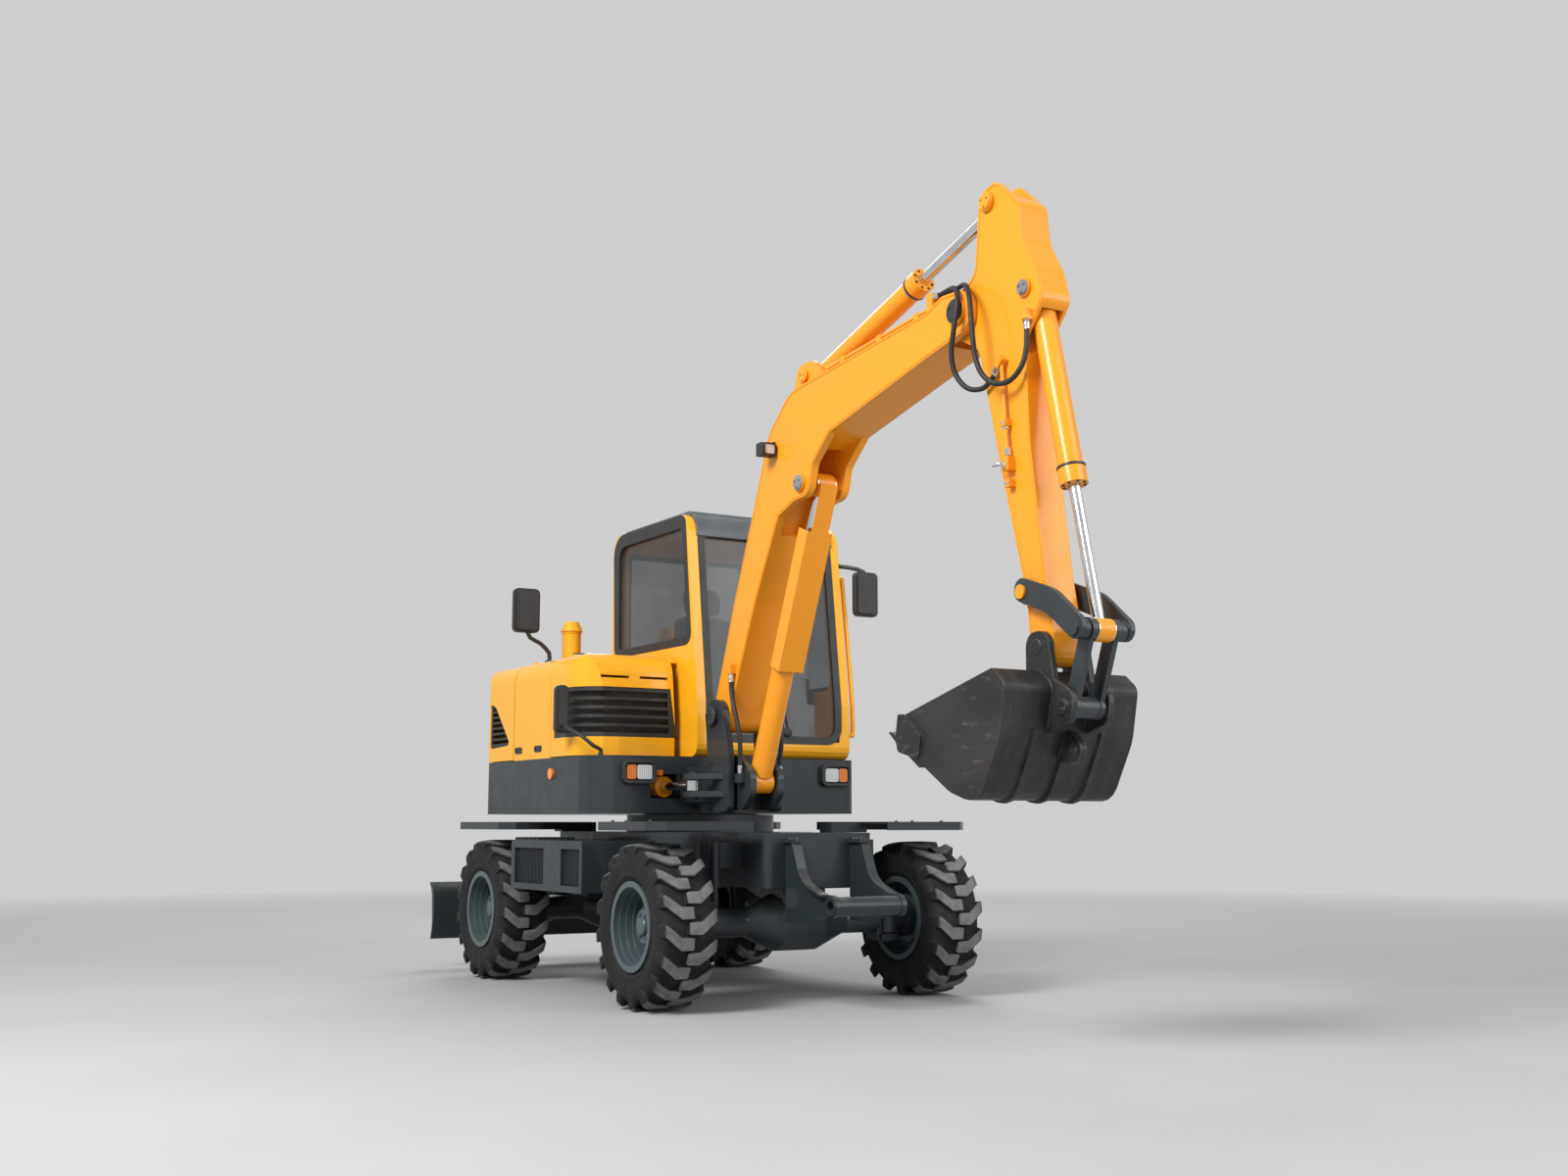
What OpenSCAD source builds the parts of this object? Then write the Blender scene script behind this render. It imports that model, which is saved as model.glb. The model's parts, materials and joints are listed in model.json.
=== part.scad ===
// Wheeled excavator with swing post, bucket and blade.
// Millimetres. X forward, Y left, Z up. Swing axis at X = origin_shift, ground at Z = 0.

/* [Wheels] */
// Tyre outer diameter over the lugs
tyre_d = 830; // [780:1:880]
// Tyre width
tyre_w = 306; // [270:1:330]
// Wheelbase
wheelbase = 2100; // [2000:5:2300]
// Track between tyre centres
track = 1620; // [1560:5:1700]

/* [Undercarriage] */
// Chassis top above ground
chassis_top = 880; // [860:1:890]
// Chassis half width at the axles
chassis_half = 330; // [280:1:340]
// Half width over the step boxes
step_half = 940; // [880:1:960]
// Half width of the blade
blade_half = 960; // [900:1:980]

/* [Upper structure] */
// Underside of the deck
deck_z = 985; // [980:1:1000]
// Top of the dark skirt
belt_z = 1300; // [1260:1:1330]
// Front face of the skirt
front_x = 430; // [400:1:450]
// Right side
right_y = -880; // [-900:1:-860]
// Left side
left_y = 820; // [790:1:850]
// Tail end
tail_x = -1430; // [-1500:1:-1400]
// Top of the hood
hood_z = 1885; // [1850:1:1900]
// Panel thickness
panel = 30; // [20:1:36]

/* [Cab] */
// Right wall
cab_y0 = -250; // [-260:1:-240]
// Left wall
cab_y1 = 770; // [740:1:790]
// Roof top
cab_top = 2725; // [2650:1:2800]
// Wall thickness
cab_wall = 45; // [35:1:55]

/* [Work equipment] */
// Middle plane of the boom
boom_y = -200; // [-210:1:-190]
// Boom width
boom_w = 240; // [230:1:244]
// Arm width
arm_w = 150; // [140:1:150]
// Bucket width
bucket_w = 700; // [500:10:900]
// Boom cylinder barrel diameter
boom_cyl_d = 120; // [100:1:124]
// Arm cylinder barrel diameter
arm_cyl_d = 108; // [90:1:112]
// Bucket cylinder barrel diameter
bucket_cyl_d = 104; // [80:1:108]

/* [Hidden] */
origin_shift = -925;
wr = tyre_d / 2;
fx = wheelbase / 2;
wy = track / 2;
rim_r = 212;
rim_w = 284;
lugs = 17;
lug_h = 28;
lug_turn = 9;
lug_bend = 55;
teeth = 5;
grille_z0 = 1410;
grille_z1 = 1690;
grille_bars = 4;
grille_frame = 24;
grille_gap = 33;
grille_pitch = (grille_z1 - grille_z0 - 2 * grille_frame - grille_gap) / grille_bars;
king_y = 600;
blade_cyl_y = 142;
blade_cyl_d = 84;
post = [700, boom_y];
boom_foot = [830, 1500];
boom_tip = [3010, 3180];
boom_cyl_foot = [1045, 1146];
boom_cyl_head = [1672, 2640];
arm_cyl_foot = [1665, 3200];
arm_cyl_head = [3185, 3640];
bucket_cyl_foot = [3430, 3180];
link_arm = [3435, 1872];
link_rod = [3760, 1690];
link_bucket = [3650, 1388];
bucket_pin = [3490, 1640];
link_l = norm(link_rod - link_arm);
swing_foot = [-300, -440];
swing_eye = [755, -440];
swing_z = 1130;
foot_hose_z = 1190;
boom_hose_z = 1720;
tip_hose_x = 2815;
loop_end = [3262, 2872];
arm_hose_z = 3030;
blade_pin = [-1330, 505];
blade_cyl_foot = [-1400, 790];
blade_cyl_head = [-1830, 470];

paint = [0.93, 0.62, 0.13];
dark = [0.20, 0.22, 0.25];
black = [0.07, 0.07, 0.08];
steel = [0.75, 0.76, 0.78];
grey = [0.42, 0.48, 0.50];

function unit(v) = v / norm(v);
function xy(p) = [p.x, p.y];
function corner(a, b, c, r, n) = r <= 0 ? [b] :
    let (u = unit(a - b), v = unit(c - b), half = acos(u * v) / 2, m = b + unit(u + v) * r / sin(half),
        s = b + u * r / tan(half) - m, e = b + v * r / tan(half) - m,
        a0 = atan2(s.y, s.x), turn = ((atan2(e.y, e.x) - a0 + 540) % 360) - 180)
    [for (i = [0 : n]) m + r * [cos(a0 + turn * i / n), sin(a0 + turn * i / n)]];
function rounded(p, n = 4) = [for (i = [0 : len(p) - 1])
    each corner(xy(p[(i + len(p) - 1) % len(p)]), xy(p[i]), xy(p[(i + 1) % len(p)]), p[i][2], n)];
function normal(a, b) = let (d = unit(b - a)) [-d.y, d.x];
// Moves a counter-clockwise outline inwards by d
function inset(p, d) = [for (i = [0 : len(p) - 1])
    let (k = len(p), n0 = normal(p[(i + k - 1) % k], p[i]), n1 = normal(p[i], p[(i + 1) % k]))
    p[i] + (n0 + n1) * d / (1 + n0 * n1)];

// An X-Z outline given depth along Y, centred on y
module side(p, y, w) translate([0, y + w / 2, 0]) rotate([90, 0, 0]) linear_extrude(w) polygon(p);
// A Y-Z outline given length along X
module across(p, x0, x1) translate([x0, 0, 0]) rotate([90, 0, 90]) linear_extrude(x1 - x0) polygon(p);
module plan(p, z0, z1) translate([0, 0, z0]) linear_extrude(z1 - z0) polygon(p);
module box(x0, x1, y0, y1, z0, z1) translate([x0, y0, z0]) cube([x1 - x0, y1 - y0, z1 - z0]);
// A round along Y through an X-Z point
module pin(p, r, y0, y1) translate([p.x, y1, p.y]) rotate([90, 0, 0])
    cylinder(r = r, h = y1 - y0, $fn = 48);
module post_z(p, r, z0, z1) translate([p.x, p.y, z0]) cylinder(r = r, h = z1 - z0, $fn = 48);
module bar_x(p, r, x0, x1) translate([x0, p.x, p.y]) rotate([0, 90, 0])
    cylinder(r = r, h = x1 - x0, $fn = 48);
module both() { children(); mirror([0, 1, 0]) children(); }
module pair(y) { translate([0, y, 0]) { children(); mirror([0, 1, 0]) children(); } }
// Local X runs from a to b in the X-Z plane at y
module along(a, b, y) translate([a.x, y, a.y]) rotate([0, -atan2(b.y - a.y, b.x - a.x), 0]) children();
module rod_x(r, x0, x1) translate([x0, 0, 0]) rotate([0, 90, 0]) cylinder(r = r, h = x1 - x0, $fn = 48);
module eye_y(x, r, w) translate([x, w / 2, 0]) rotate([90, 0, 0]) cylinder(r = r, h = w, $fn = 48);
function blend(a, b, c, d, t) = 0.5 * (2 * b + (c - a) * t + (2 * a - 5 * b + 4 * c - d) * t * t
    + (3 * b - a - 3 * c + d) * t * t * t);
function spline(p, n) = [for (i = [0 : len(p) - 2]) for (j = [0 : n - (i < len(p) - 2 ? 1 : 0)])
    blend(p[max(i - 1, 0)], p[i], p[i + 1], p[min(i + 2, len(p) - 1)], j / n)];
// A round tube through the points, cut square to its first and last stretch
module tube(p, r, m = 10, n = 2, across = [0, 1, 0]) {
    q = spline(p, n);
    k = len(q);
    e = len(p) - 1;
    points = [for (i = [0 : k - 1])
        let (t = unit(i == 0 ? p[1] - p[0] : i == k - 1 ? p[e] - p[e - 1] : q[i + 1] - q[i - 1]),
        u = unit(cross(t, across)), v = cross(t, u)) for (j = [0 : m - 1])
        q[i] + r * (u * cos(360 * j / m) + v * sin(360 * j / m))];
    faces = concat([[for (j = [0 : m - 1]) j]],
        [for (i = [0 : k - 2]) for (j = [0 : m - 1]) let (a = i * m + j, b = i * m + (j + 1) % m)
            each [[a, a + m, b], [b, a + m, b + m]]],
        [[for (j = [m - 1 : -1 : 0]) (k - 1) * m + j]]);
    polyhedron(points, faces);
}

// A cylinder barrel on local X: eye at 0, bore for the rod from its closed end
module barrel(len, d, eye_r, eye_w, pin_r, rod_d) difference() {
    union() {
        eye_y(0, eye_r, eye_w);
        rod_x(d / 2, eye_r * 0.7, len - 60);
        rod_x(d / 2 + 7, len - 70, len);
    }
    eye_y(0, pin_r + 0.5, eye_w + 2);
    rod_x(rod_d / 2 + 4, eye_r + 30, len - 50);
    rod_x(rod_d / 2 + 0.6, len - 60, len + 1);
}
module rod(from, to, d, eye_r, eye_w) difference() {
    union() {
        rod_x(d / 2, from, to - eye_r * 0.6);
        eye_y(to, eye_r, eye_w);
    }
    eye_y(to, eye_r * 0.5, eye_w + 2);
}

// Wheels
// Rows across the tyre: [radius and half width on a lug, the same between lugs, turn in degrees]
tread_rows = [[wr - 80, tyre_w / 2 - 2, wr - 80, tyre_w / 2 - 2, lug_turn],
    [wr - 5, tyre_w / 2 - 15, wr - lug_h - 4, tyre_w / 2 - 28, lug_turn],
    [wr, lug_bend, wr - lug_h, lug_bend, 0], [wr, 6, wr - lug_h, 6, 0]];
// The flats of the bore clear the rim
bead_r = (rim_r + 0.5) / cos(90 / lugs);
bead_rows = [[rim_r + 57, tyre_w / 2], [rim_r + 16, rim_w / 2 - 13], [bead_r, rim_w / 2 - 13]];
// Where a lug starts and ends, and where the gap after it does, as shares of a pitch
lug_steps = [-0.15, 0.25, 0.35, 0.75];
function around(r, y, a) = [r * cos(a), y, r * sin(a)];
// A ring of tread points; lugs on the two sides stand half a pitch apart
function tread_ring(row, s) = [for (i = [0 : 4 * lugs - 1])
    let (lug = (i % 4 < 2) == (s > 0), a = (floor(i / 4) + lug_steps[i % 4]) * 360 / lugs + row[4])
    around(row[lug ? 0 : 2], s * row[lug ? 1 : 3], a)];
function bead_ring(row, s) = [for (i = [0 : 2 * lugs - 1])
    around(row.x, s * row.y, (i + 0.1) * 180 / lugs + lug_turn)];
// Faces between two rings of k points, and from a ring of k points to one of twice as many
function band(a, b, k) = [for (i = [0 : k - 1]) let (j = (i + 1) % k) each [[a + i, b + j, b + i],
    [a + i, a + j, b + j]]];
function fan(a, b, k) = [for (i = [0 : k - 1]) let (j = (i + 1) % k)
    each [[a + i, b + 2 * i + 1, b + 2 * i], [a + i, b + 2 * j, b + 2 * i + 1], [a + i, a + j, b + 2 * j]]];
function flip(f) = [for (t = f) [t[2], t[1], t[0]]];
module tyre() color(black) {
    k = 2 * lugs;
    half = 3 * k + 4 * 2 * k;
    points = [for (s = [1, -1]) each concat([for (r = [2 : -1 : 0]) each bead_ring(bead_rows[r], s)],
        [for (r = tread_rows) each tread_ring(r, s)])];
    half_faces = concat(band(0, k, k), band(k, 2 * k, k), fan(2 * k, 3 * k, k),
        [for (r = [0 : 2]) each band(3 * k + r * 2 * k, 5 * k + r * 2 * k, 2 * k)]);
    polyhedron(points, concat(half_faces, flip([for (t = half_faces) t + [half, half, half]]),
        band(9 * k, half + 9 * k, 2 * k), flip(band(0, half, k))));
}
module wheel_at(x, s) translate([x, s * wy, wr]) rotate([-90 * s, 0, 0]) children();
module ring(r0, r1, z0, z1) translate([0, 0, z0]) difference() {
    cylinder(r = r1, h = z1 - z0, $fn = 72);
    translate([0, 0, -1]) cylinder(r = r0, h = z1 - z0 + 2, $fn = 72);
}
module rim() color(grey) difference() {
    union() {
        ring(196, rim_r, -rim_w / 2, rim_w / 2);
        ring(196, rim_r + 14, rim_w / 2 - 12, rim_w / 2);
        ring(196, rim_r + 14, -rim_w / 2, -rim_w / 2 + 12);
        for (i = [0 : 2]) ring(188 - 8 * i, 197, -30, rim_w / 2 - 32 - 34 * i);
        translate([0, 0, -32]) cylinder(r = 200, h = 18, $fn = 72);
        translate([0, 0, -75]) cylinder(r = 130, h = 105, $fn = 72);
        translate([0, 0, 29]) cylinder(r1 = 110, r2 = 85, h = 40, $fn = 72);
    }
    translate([0, 0, -80]) cylinder(r = 60.5, h = 110, $fn = 48);
}
module tyre_fl() translate([fx, wy, wr]) tyre();
module tyre_fr() translate([fx, -wy, wr]) tyre();
module tyre_rl() translate([-fx, wy, wr]) tyre();
module tyre_rr() translate([-fx, -wy, wr]) tyre();
module rim_fl() wheel_at(fx, 1) rim();
module rim_fr() wheel_at(fx, -1) rim();
module rim_rl() wheel_at(-fx, 1) rim();
module rim_rr() wheel_at(-fx, -1) rim();

// Undercarriage
axle_r = 150;
axle_profile = [[0, -300], [72, -300], [axle_r, -120], [axle_r, 120], [72, 300], [0, 300]];
module housing(x) translate([x, 0, wr]) rotate([90, 0, 0]) rotate_extrude($fn = 48) polygon(axle_profile);
module front_axle() color(dark) {
    housing(fx);
    pin([fx, wr], 72, -520, 520);
    box(fx - 120, fx + 120, -130, 130, wr + 100, 600);
    both() {
        box(fx - 52, fx + 52, 505, 535, wr - 115, wr + 115);
        for (z = [-115, 80]) {
            box(fx - 75, fx + 75, 520, king_y, wr + z, wr + z + 35);
            post_z([fx, king_y], 75, wr + z, wr + z + 35);
        }
        post_z([fx, king_y], 28, wr - 125, wr + 125);
    }
}
module knuckle() color(dark) difference() {
    union() {
        post_z([fx, king_y], 62, wr - 74, wr + 74);
        pin([fx, wr], 62, king_y, 690);
        pin([fx, wr], 100, 685, 725);
        pin([fx, wr], 60, 715, wy + 20);
        box(fx - 190, fx - 30, king_y - 24, king_y + 24, wr - 16, wr + 16);
    }
    post_z([fx, king_y], 28.5, wr - 80, wr + 80);
}
module knuckle_left() knuckle();
module knuckle_right() mirror([0, 1, 0]) knuckle();
module rear_axle() color(dark) {
    housing(-fx);
    box(-fx - 120, -fx + 120, -300, 300, wr + 50, 600);
    pin([-fx, wr], 72, -640, 640);
    both() {
        pin([-fx, wr], 100, 620, 725);
        pin([-fx, wr], 60, 715, wy + 20);
    }
}
module driveline() color(dark) {
    gearbox_x = -fx + 490;
    box(-fx + axle_r + 0.3, gearbox_x, -170, 170, 330, 600);
    bar_x([0, wr], 38, gearbox_x - 5, fx - axle_r - 0.3);
}
chassis_plan = rounded([[1330, -chassis_half, 40], [1330, chassis_half, 40], [620, chassis_half, 60],
    [420, 510, 60], [-420, 510, 60], [-620, chassis_half, 60], [-1330, chassis_half, 40],
    [-1330, -chassis_half, 40], [-620, -chassis_half, 60], [-420, -510, 60], [420, -510, 60],
    [620, -chassis_half, 60]]);
blade_lug = rounded([[-1430, 720, 30], [-1300, 720, 0], [-1300, 860, 0], [-1430, 860, 30]]);
module chassis() color(dark) {
    difference() {
        plan(chassis_plan, 600, chassis_top);
        plan(inset(chassis_plan, 30), 630, chassis_top - 30);
    }
    both() {
        side(rounded([[-1380, 460, 40], [-1270, 460, 40], [-1200, 640, 0], [-1380, 640, 0]]), 275, 30);
        for (s = [-1, 1]) side(blade_lug, blade_cyl_y + s * (blade_cyl_d / 2 + 16), 20);
        pin(blade_cyl_foot, 20, blade_cyl_y - blade_cyl_d / 2 - 28, blade_cyl_y + blade_cyl_d / 2 + 28);
    }
    both() pin(blade_pin, 30, 255, 350);
    both() {
        post_z([fx, 470], 30, 600, 835);
        post_z([fx, 470], 17, wr + 73, 610);
        box(fx - 25, fx + 25, chassis_half - 20, 450, 700, 830);
    }
}
module swing_bearing() color(grey) translate([0, 0, chassis_top]) difference() {
    cylinder(r = 430, h = 98, $fn = 96);
    translate([0, 0, -1]) cylinder(r = 335, h = 100, $fn = 96);
}
bracket_side = rounded([[1330, 430, 0], [1500, 430, 60], [1700, 470, 60], [1815, 470, 50],
    [1815, 575, 50], [1700, 580, 60], [1520, 640, 150], [1440, 830, 0], [1330, 830, 0]]);
module front_bracket() color(dark) {
    both() {
        difference() {
            side(bracket_side, 195, 26);
            pin([1762, 523], 30, -230, 230);
        }
        intersection() {
            difference() {
                side(bracket_side, 209, 54);
                side(inset(bracket_side, 14), 209, 60);
            }
            side([[1428, 850], [1440, 650], [1560, 560], [1720, 570], [1720, 660], [1500, 850]], 195, 100);
        }
        box(1330, 1450, 165, 225, 830, 848);
    }
    difference() {
        pin([1762, 523], 48, -215, 215);
        pin([1762, 523], 30, -230, 230);
    }
}
fender_lip = 45;
module fender(x0, x1, foot) {
    difference() {
        plan(rounded([[x0, 420, 0], [x1, 420, 0], [x1, 895, 0], [x1 - 80, 975, 0], [x0 + 80, 975, 0],
            [x0, 895, 0]]), 938 - fender_lip, 938);
        plan(inset(rounded([[x0, 380, 0], [x1, 380, 0], [x1, 895, 0], [x1 - 80, 975, 0],
            [x0 + 80, 975, 0], [x0, 895, 0]]), 10), 930 - fender_lip, 926);
    }
    box(foot - 60, foot + 60, 240, 470, chassis_top, 938);
}
module fenders() color(dark) both() {
    fender(fx - 430, fx + 290, fx - 50);
    fender(-fx - 400, -fx + 410, -fx + 50);
}
step_x0 = -fx + wr + 45;
step_x1 = fx - wr - 215;
step_mid = (step_x0 + step_x1) / 2;
module step_box() difference() {
    union() {
        box(step_x0, step_x1, 510, step_half, 555, 835);
        for (x = [step_x0 + 30 : 40 : step_mid - 150]) box(x, x + 16, 700, step_half - 10, 835, 850);
    }
    box(step_x0 + 50, step_mid - 20, step_half - 30, step_half + 5, 590, 790);
    box(step_mid + 220, step_x1 - 30, step_half - 30, step_half + 5, 590, 790);
}
module step_boxes() color(dark) both() step_box();
blade_curve = rounded([[-1905, 190, 0], [-1925, 185, 0], [-1895, 270, 200], [-1915, 500, 120],
    [-1960, 545, 0], [-1935, 550, 0], [-1880, 500, 100], [-1865, 350, 150]]);
module blade() color(dark) {
    side(blade_curve, 0, 2 * blade_half);
    both() {
        difference() {
            side(rounded([[-1280, 460, 40], [-1280, 550, 40], [-1390, 550, 40], [-1500, 420, 60],
                [-1890, 420, 0], [-1890, 300, 0], [-1460, 300, 80], [-1370, 455, 30]]), 318, 44);
            pin(blade_pin, 30.5, 290, 345);
        }
        side(rounded([[-1900, 400, 0], [-1900, 520, 0], [-1830, 515, 30], [-1785, 470, 30],
            [-1830, 400, 20]]), 96, 20);
        side(rounded([[-1900, 400, 0], [-1900, 520, 0], [-1830, 515, 30], [-1785, 470, 30],
            [-1830, 400, 20]]), 188, 20);
        box(-1895, -1700, 105, 300, 305, 330);
    }
}
module blade_barrels() color(paint) both()
    along(blade_cyl_foot, blade_cyl_head, blade_cyl_y) barrel(360, blade_cyl_d, 38, 76, 20, 44);
module blade_rods() color(steel) both()
    along(blade_cyl_foot, blade_cyl_head, blade_cyl_y)
        rod(200, norm(blade_cyl_head - blade_cyl_foot), 44, 36, 60);

// Upper structure
deck_plan = rounded([[front_x, right_y, 200], [front_x, left_y, 80], [-1120, left_y, 0],
    [-1120, right_y, 0]]);
module upper_frame() color(dark) difference() {
    union() {
        plan(deck_plan, deck_z, 1045);
        difference() {
            plan(deck_plan, deck_z, belt_z);
            plan(inset(deck_plan, panel), 1045, belt_z + 1);
        }
        post_z([0, 0], 334.4, 900, deck_z + 5);
        box(300, post.x, boom_y - 112, boom_y + 112, 1042, 1238);
        post_z(post, 112, 1042, 1238);
        post_z(swing_foot, 24, 1040, 1190);
    }
    post_z(post, 45.5, 1000, 1260);
    box(350, 500, -540, -340, 1065, 1200);
}
tail_plan = rounded([[-1120, right_y, 0], [-1120, left_y, 0], [-1190, left_y, 90], [tail_x, 330, 420],
    [tail_x, -400, 420], [-1190, right_y, 90]]);
module counterweight() color(dark) plan(tail_plan, deck_z, belt_z);
hood_plan = rounded([[250, right_y, 230], [250, -268, 40], [-745, -268, 0], [-745, left_y, 40],
    [-1190, left_y, 90], [tail_x, 330, 420], [tail_x, -400, 420], [-1190, right_y, 90]]);
module hood_block(d) intersection() {
    plan(inset(hood_plan, d), belt_z - d, hood_z - d);
    across(inset(rounded([[right_y, 1200, 0], [left_y, 1200, 0], [left_y, hood_z, 90],
        [right_y, hood_z, 110]]), d), tail_x - 50, 300);
    side(inset(rounded([[250, 1200, 0], [250, 1500, 0], [205, hood_z, 120], [tail_x, hood_z, 150],
        [tail_x, 1200, 0]]), d), -30, 2000);
}
module hood_shell(x0, x1, z0) intersection() {
    difference() {
        hood_block(0);
        hood_block(panel);
    }
    box(x0, x1, -1000, 1000, z0, 2000);
}
cover_hinge = [-180, hood_z + 9];
hood_hinge = [-744, hood_z + 9];
hinge_y = [-760, -400];
// Knuckle, strap towards x and either the pin or its hole
module hinge_half(p, y, x) {
    pin(p, 9, y, y + 38);
    box(min(p.x, x), max(p.x, x), y, y + 38, hood_z - 1, hood_z + 6);
}
module hinge_pins(p, r, over) for (y = hinge_y) pin(p, r, y - over, y + 79 + over);
// The grille's outline on the front corner: it slants at the cab's end and wraps round to the side
module grille_zone() intersection() {
    across([[right_y - 100, grille_z0], [-294, grille_z0], [-318, grille_z1],
        [right_y - 100, grille_z1]], -300, 400);
    box(-135, 400, right_y - 100, -200, grille_z0, grille_z1);
}
module right_cover() color(paint) difference() {
    union() {
        difference() {
            hood_shell(-177, 300, belt_z + 5);
            box(-200, 300, -300, -200, belt_z, hood_z - panel - 10);
            grille_zone();
            for (y = [-754, -511]) box(150, 300, y, y + 178, grille_z1 + 52, grille_z1 + 66);
        }
        for (y = hinge_y) hinge_half(cover_hinge, y + 41, -130);
    }
    hinge_pins(cover_hinge, 4.5, 1);
}
// Bars and frame of the grille, set a little inside the cover's skin
module grille() color(black) intersection() {
    difference() {
        hood_block(5);
        hood_block(panel - 2);
        intersection() {
            hood_block(0);
            box(-60, 300, right_y - 50, -336, grille_z0 + grille_frame, grille_z1 - grille_frame);
            for (i = [0 : grille_bars]) box(-200, 300, -1000, 0,
                grille_z0 + grille_frame + i * grille_pitch,
                grille_z0 + grille_frame + i * grille_pitch + grille_gap);
        }
    }
    grille_zone();
}
module right_panel() color(paint) {
    difference() {
        union() {
            hood_shell(-737, -183, belt_z);
            for (y = hinge_y) {
                hinge_half(hood_hinge, y, -700);
                hinge_half(cover_hinge, y, -240);
            }
        }
        box(-742, -737, -1000, 1000, belt_z, hood_z - 0.5);
    }
    hinge_pins(hood_hinge, 4, 0);
    hinge_pins(cover_hinge, 4, 0);
}
tail_vent = rounded([[-1140, 1385, 25], [-800, 1398, 20], [-1050, 1640, 30], [-1140, 1668, 25]]);
module engine_hood() color(paint) difference() {
    union() {
        difference() {
            hood_shell(-1500, -751, belt_z + 5);
            box(-790, -700, -300, left_y - panel - 2, belt_z, hood_z - panel - 10);
            side(tail_vent, right_y, 3 * panel);
        }
        for (y = hinge_y) hinge_half(hood_hinge, y + 41, -790);
    }
    hinge_pins(hood_hinge, 4.5, 1);
}
// Slatted plate in the opening on the tail's right side
module tail_vent_plate() color(black) difference() {
    side(tail_vent, right_y + 16, 16);
    intersection() {
        side(inset(tail_vent, 18), right_y, 3 * panel);
        for (z = [1415 : 34 : 1640]) box(-1200, -700, right_y - 10, right_y + 50, z, z + 20);
    }
}
module engine() color(grey) box(-1080, -800, -500, 560, 1045, 1690);
module exhaust() color(paint) {
    post_z([-640, -560], 58, hood_z, 2090);
    translate([-640, -560, 2090]) cylinder(r1 = 70, r2 = 45, h = 60, $fn = 48);
}

// Cab
cab_side = rounded([[-715, belt_z, 0], [430, belt_z, 70], [425, 1620, 90], [285, cab_top, 130],
    [-715, cab_top, 130]]);
cab_in = inset(cab_side, cab_wall);
cab_mid = (cab_y0 + cab_y1) / 2;
cab_w = cab_y1 - cab_y0;
door_outline = rounded([[-330, 1345, 30], [370, 1345, 30], [365, 1640, 60], [232, 2650, 60],
    [-330, 2650, 60]]);
door_pane = rounded([[-270, 1720, 40], [295, 1720, 60], [185, 2590, 60], [-270, 2590, 60]]);
right_pane = rounded([[-645, 1965, 60], [335, 1965, 60], [245, 2660, 70], [-655, 2660, 110]]);
rear_left_pane = rounded([[-650, 1985, 40], [-400, 1985, 40], [-400, 2620, 40], [-650, 2620, 60]]);
module wall_cut(p, y) side(p, y, 120);
door_hinge = [-345, cab_y1 + 8];
door_hinge_z = [1480, 2400];
module cab_walls() difference() {
    side(cab_side, cab_mid, cab_w);
    side(cab_in, cab_mid, cab_w - 2 * cab_wall);
    wall_cut(door_outline, cab_y1);
    wall_cut(right_pane, cab_y0);
    wall_cut(rear_left_pane, cab_y1);
    box(240, 500, cab_y0 + 70, cab_y1 - 70, 1400, 2610);
    box(-800, -600, cab_y0 + 90, cab_y1 - 90, 1985, 2610);
    box(-900, 800, -1000, 1000, cab_top - 12, cab_top + 50);
    for (z = door_hinge_z) post_z(door_hinge, 24, z - 80, z + 80);
}
module cab_shell() color(paint) {
    cab_walls();
    for (z = door_hinge_z) {
        post_z(door_hinge, 14, z + 42, z + 76);
        post_z(door_hinge, 7, z - 36, z + 50);
        box(-400, door_hinge.x, cab_y1 - 10, cab_y1 + 12, z + 44, z + 74);
    }
}
module cab_roof() color([0.3, 0.31, 0.33])
    side(rounded([[-660, cab_top - 12, 0], [245, cab_top - 12, 0], [225, cab_top + 14, 0],
        [-630, cab_top + 14, 0]]), cab_mid, cab_w - 90);
module windscreen() color([0.35, 0.4, 0.42, 0.5]) intersection() {
    difference() {
        side(inset(cab_side, 14), cab_mid, cab_w);
        side(inset(cab_side, 22), cab_mid, cab_w);
    }
    box(240, 500, cab_y0 + 70, cab_y1 - 70, 1400, 2610);
}
module side_glass() color([0.35, 0.4, 0.42, 0.5]) {
    side(right_pane, cab_y0 + 20, 8);
    side(rear_left_pane, cab_y1 - 20, 8);
    box(-702, -694, cab_y0 + 90, cab_y1 - 90, 1985, 2610);
}
module door() color(paint) {
    difference() {
        union() {
            side(inset(door_outline, 7), cab_y1 - cab_wall / 2, cab_wall);
            for (z = door_hinge_z) {
                post_z(door_hinge, 14, z - 40, z + 40);
                box(door_hinge.x, -300, cab_y1 - 6, cab_y1 + 12, z - 38, z + 38);
            }
        }
        side(door_pane, cab_y1, 120);
        for (z = door_hinge_z) post_z(door_hinge, 7.5, z - 90, z + 90);
    }
    box(220, 330, cab_y1 - 1, cab_y1 + 28, 1640, 1670);
}
module door_glass() color([0.35, 0.4, 0.42, 0.5]) side(door_pane, cab_y1 - 20, 8);
module seat() color(black) {
    box(-420, 80, 60, 460, belt_z + cab_wall, 1560);
    box(-420, 110, 20, 500, 1560, 1690);
    side(rounded([[-430, 1680, 0], [-300, 1680, 0], [-420, 2230, 40], [-530, 2230, 40]]), 260, 460);
    side(rounded([[-505, 2220, 0], [-440, 2220, 0], [-470, 2400, 30], [-550, 2400, 30]]), 260, 260);
}
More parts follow.
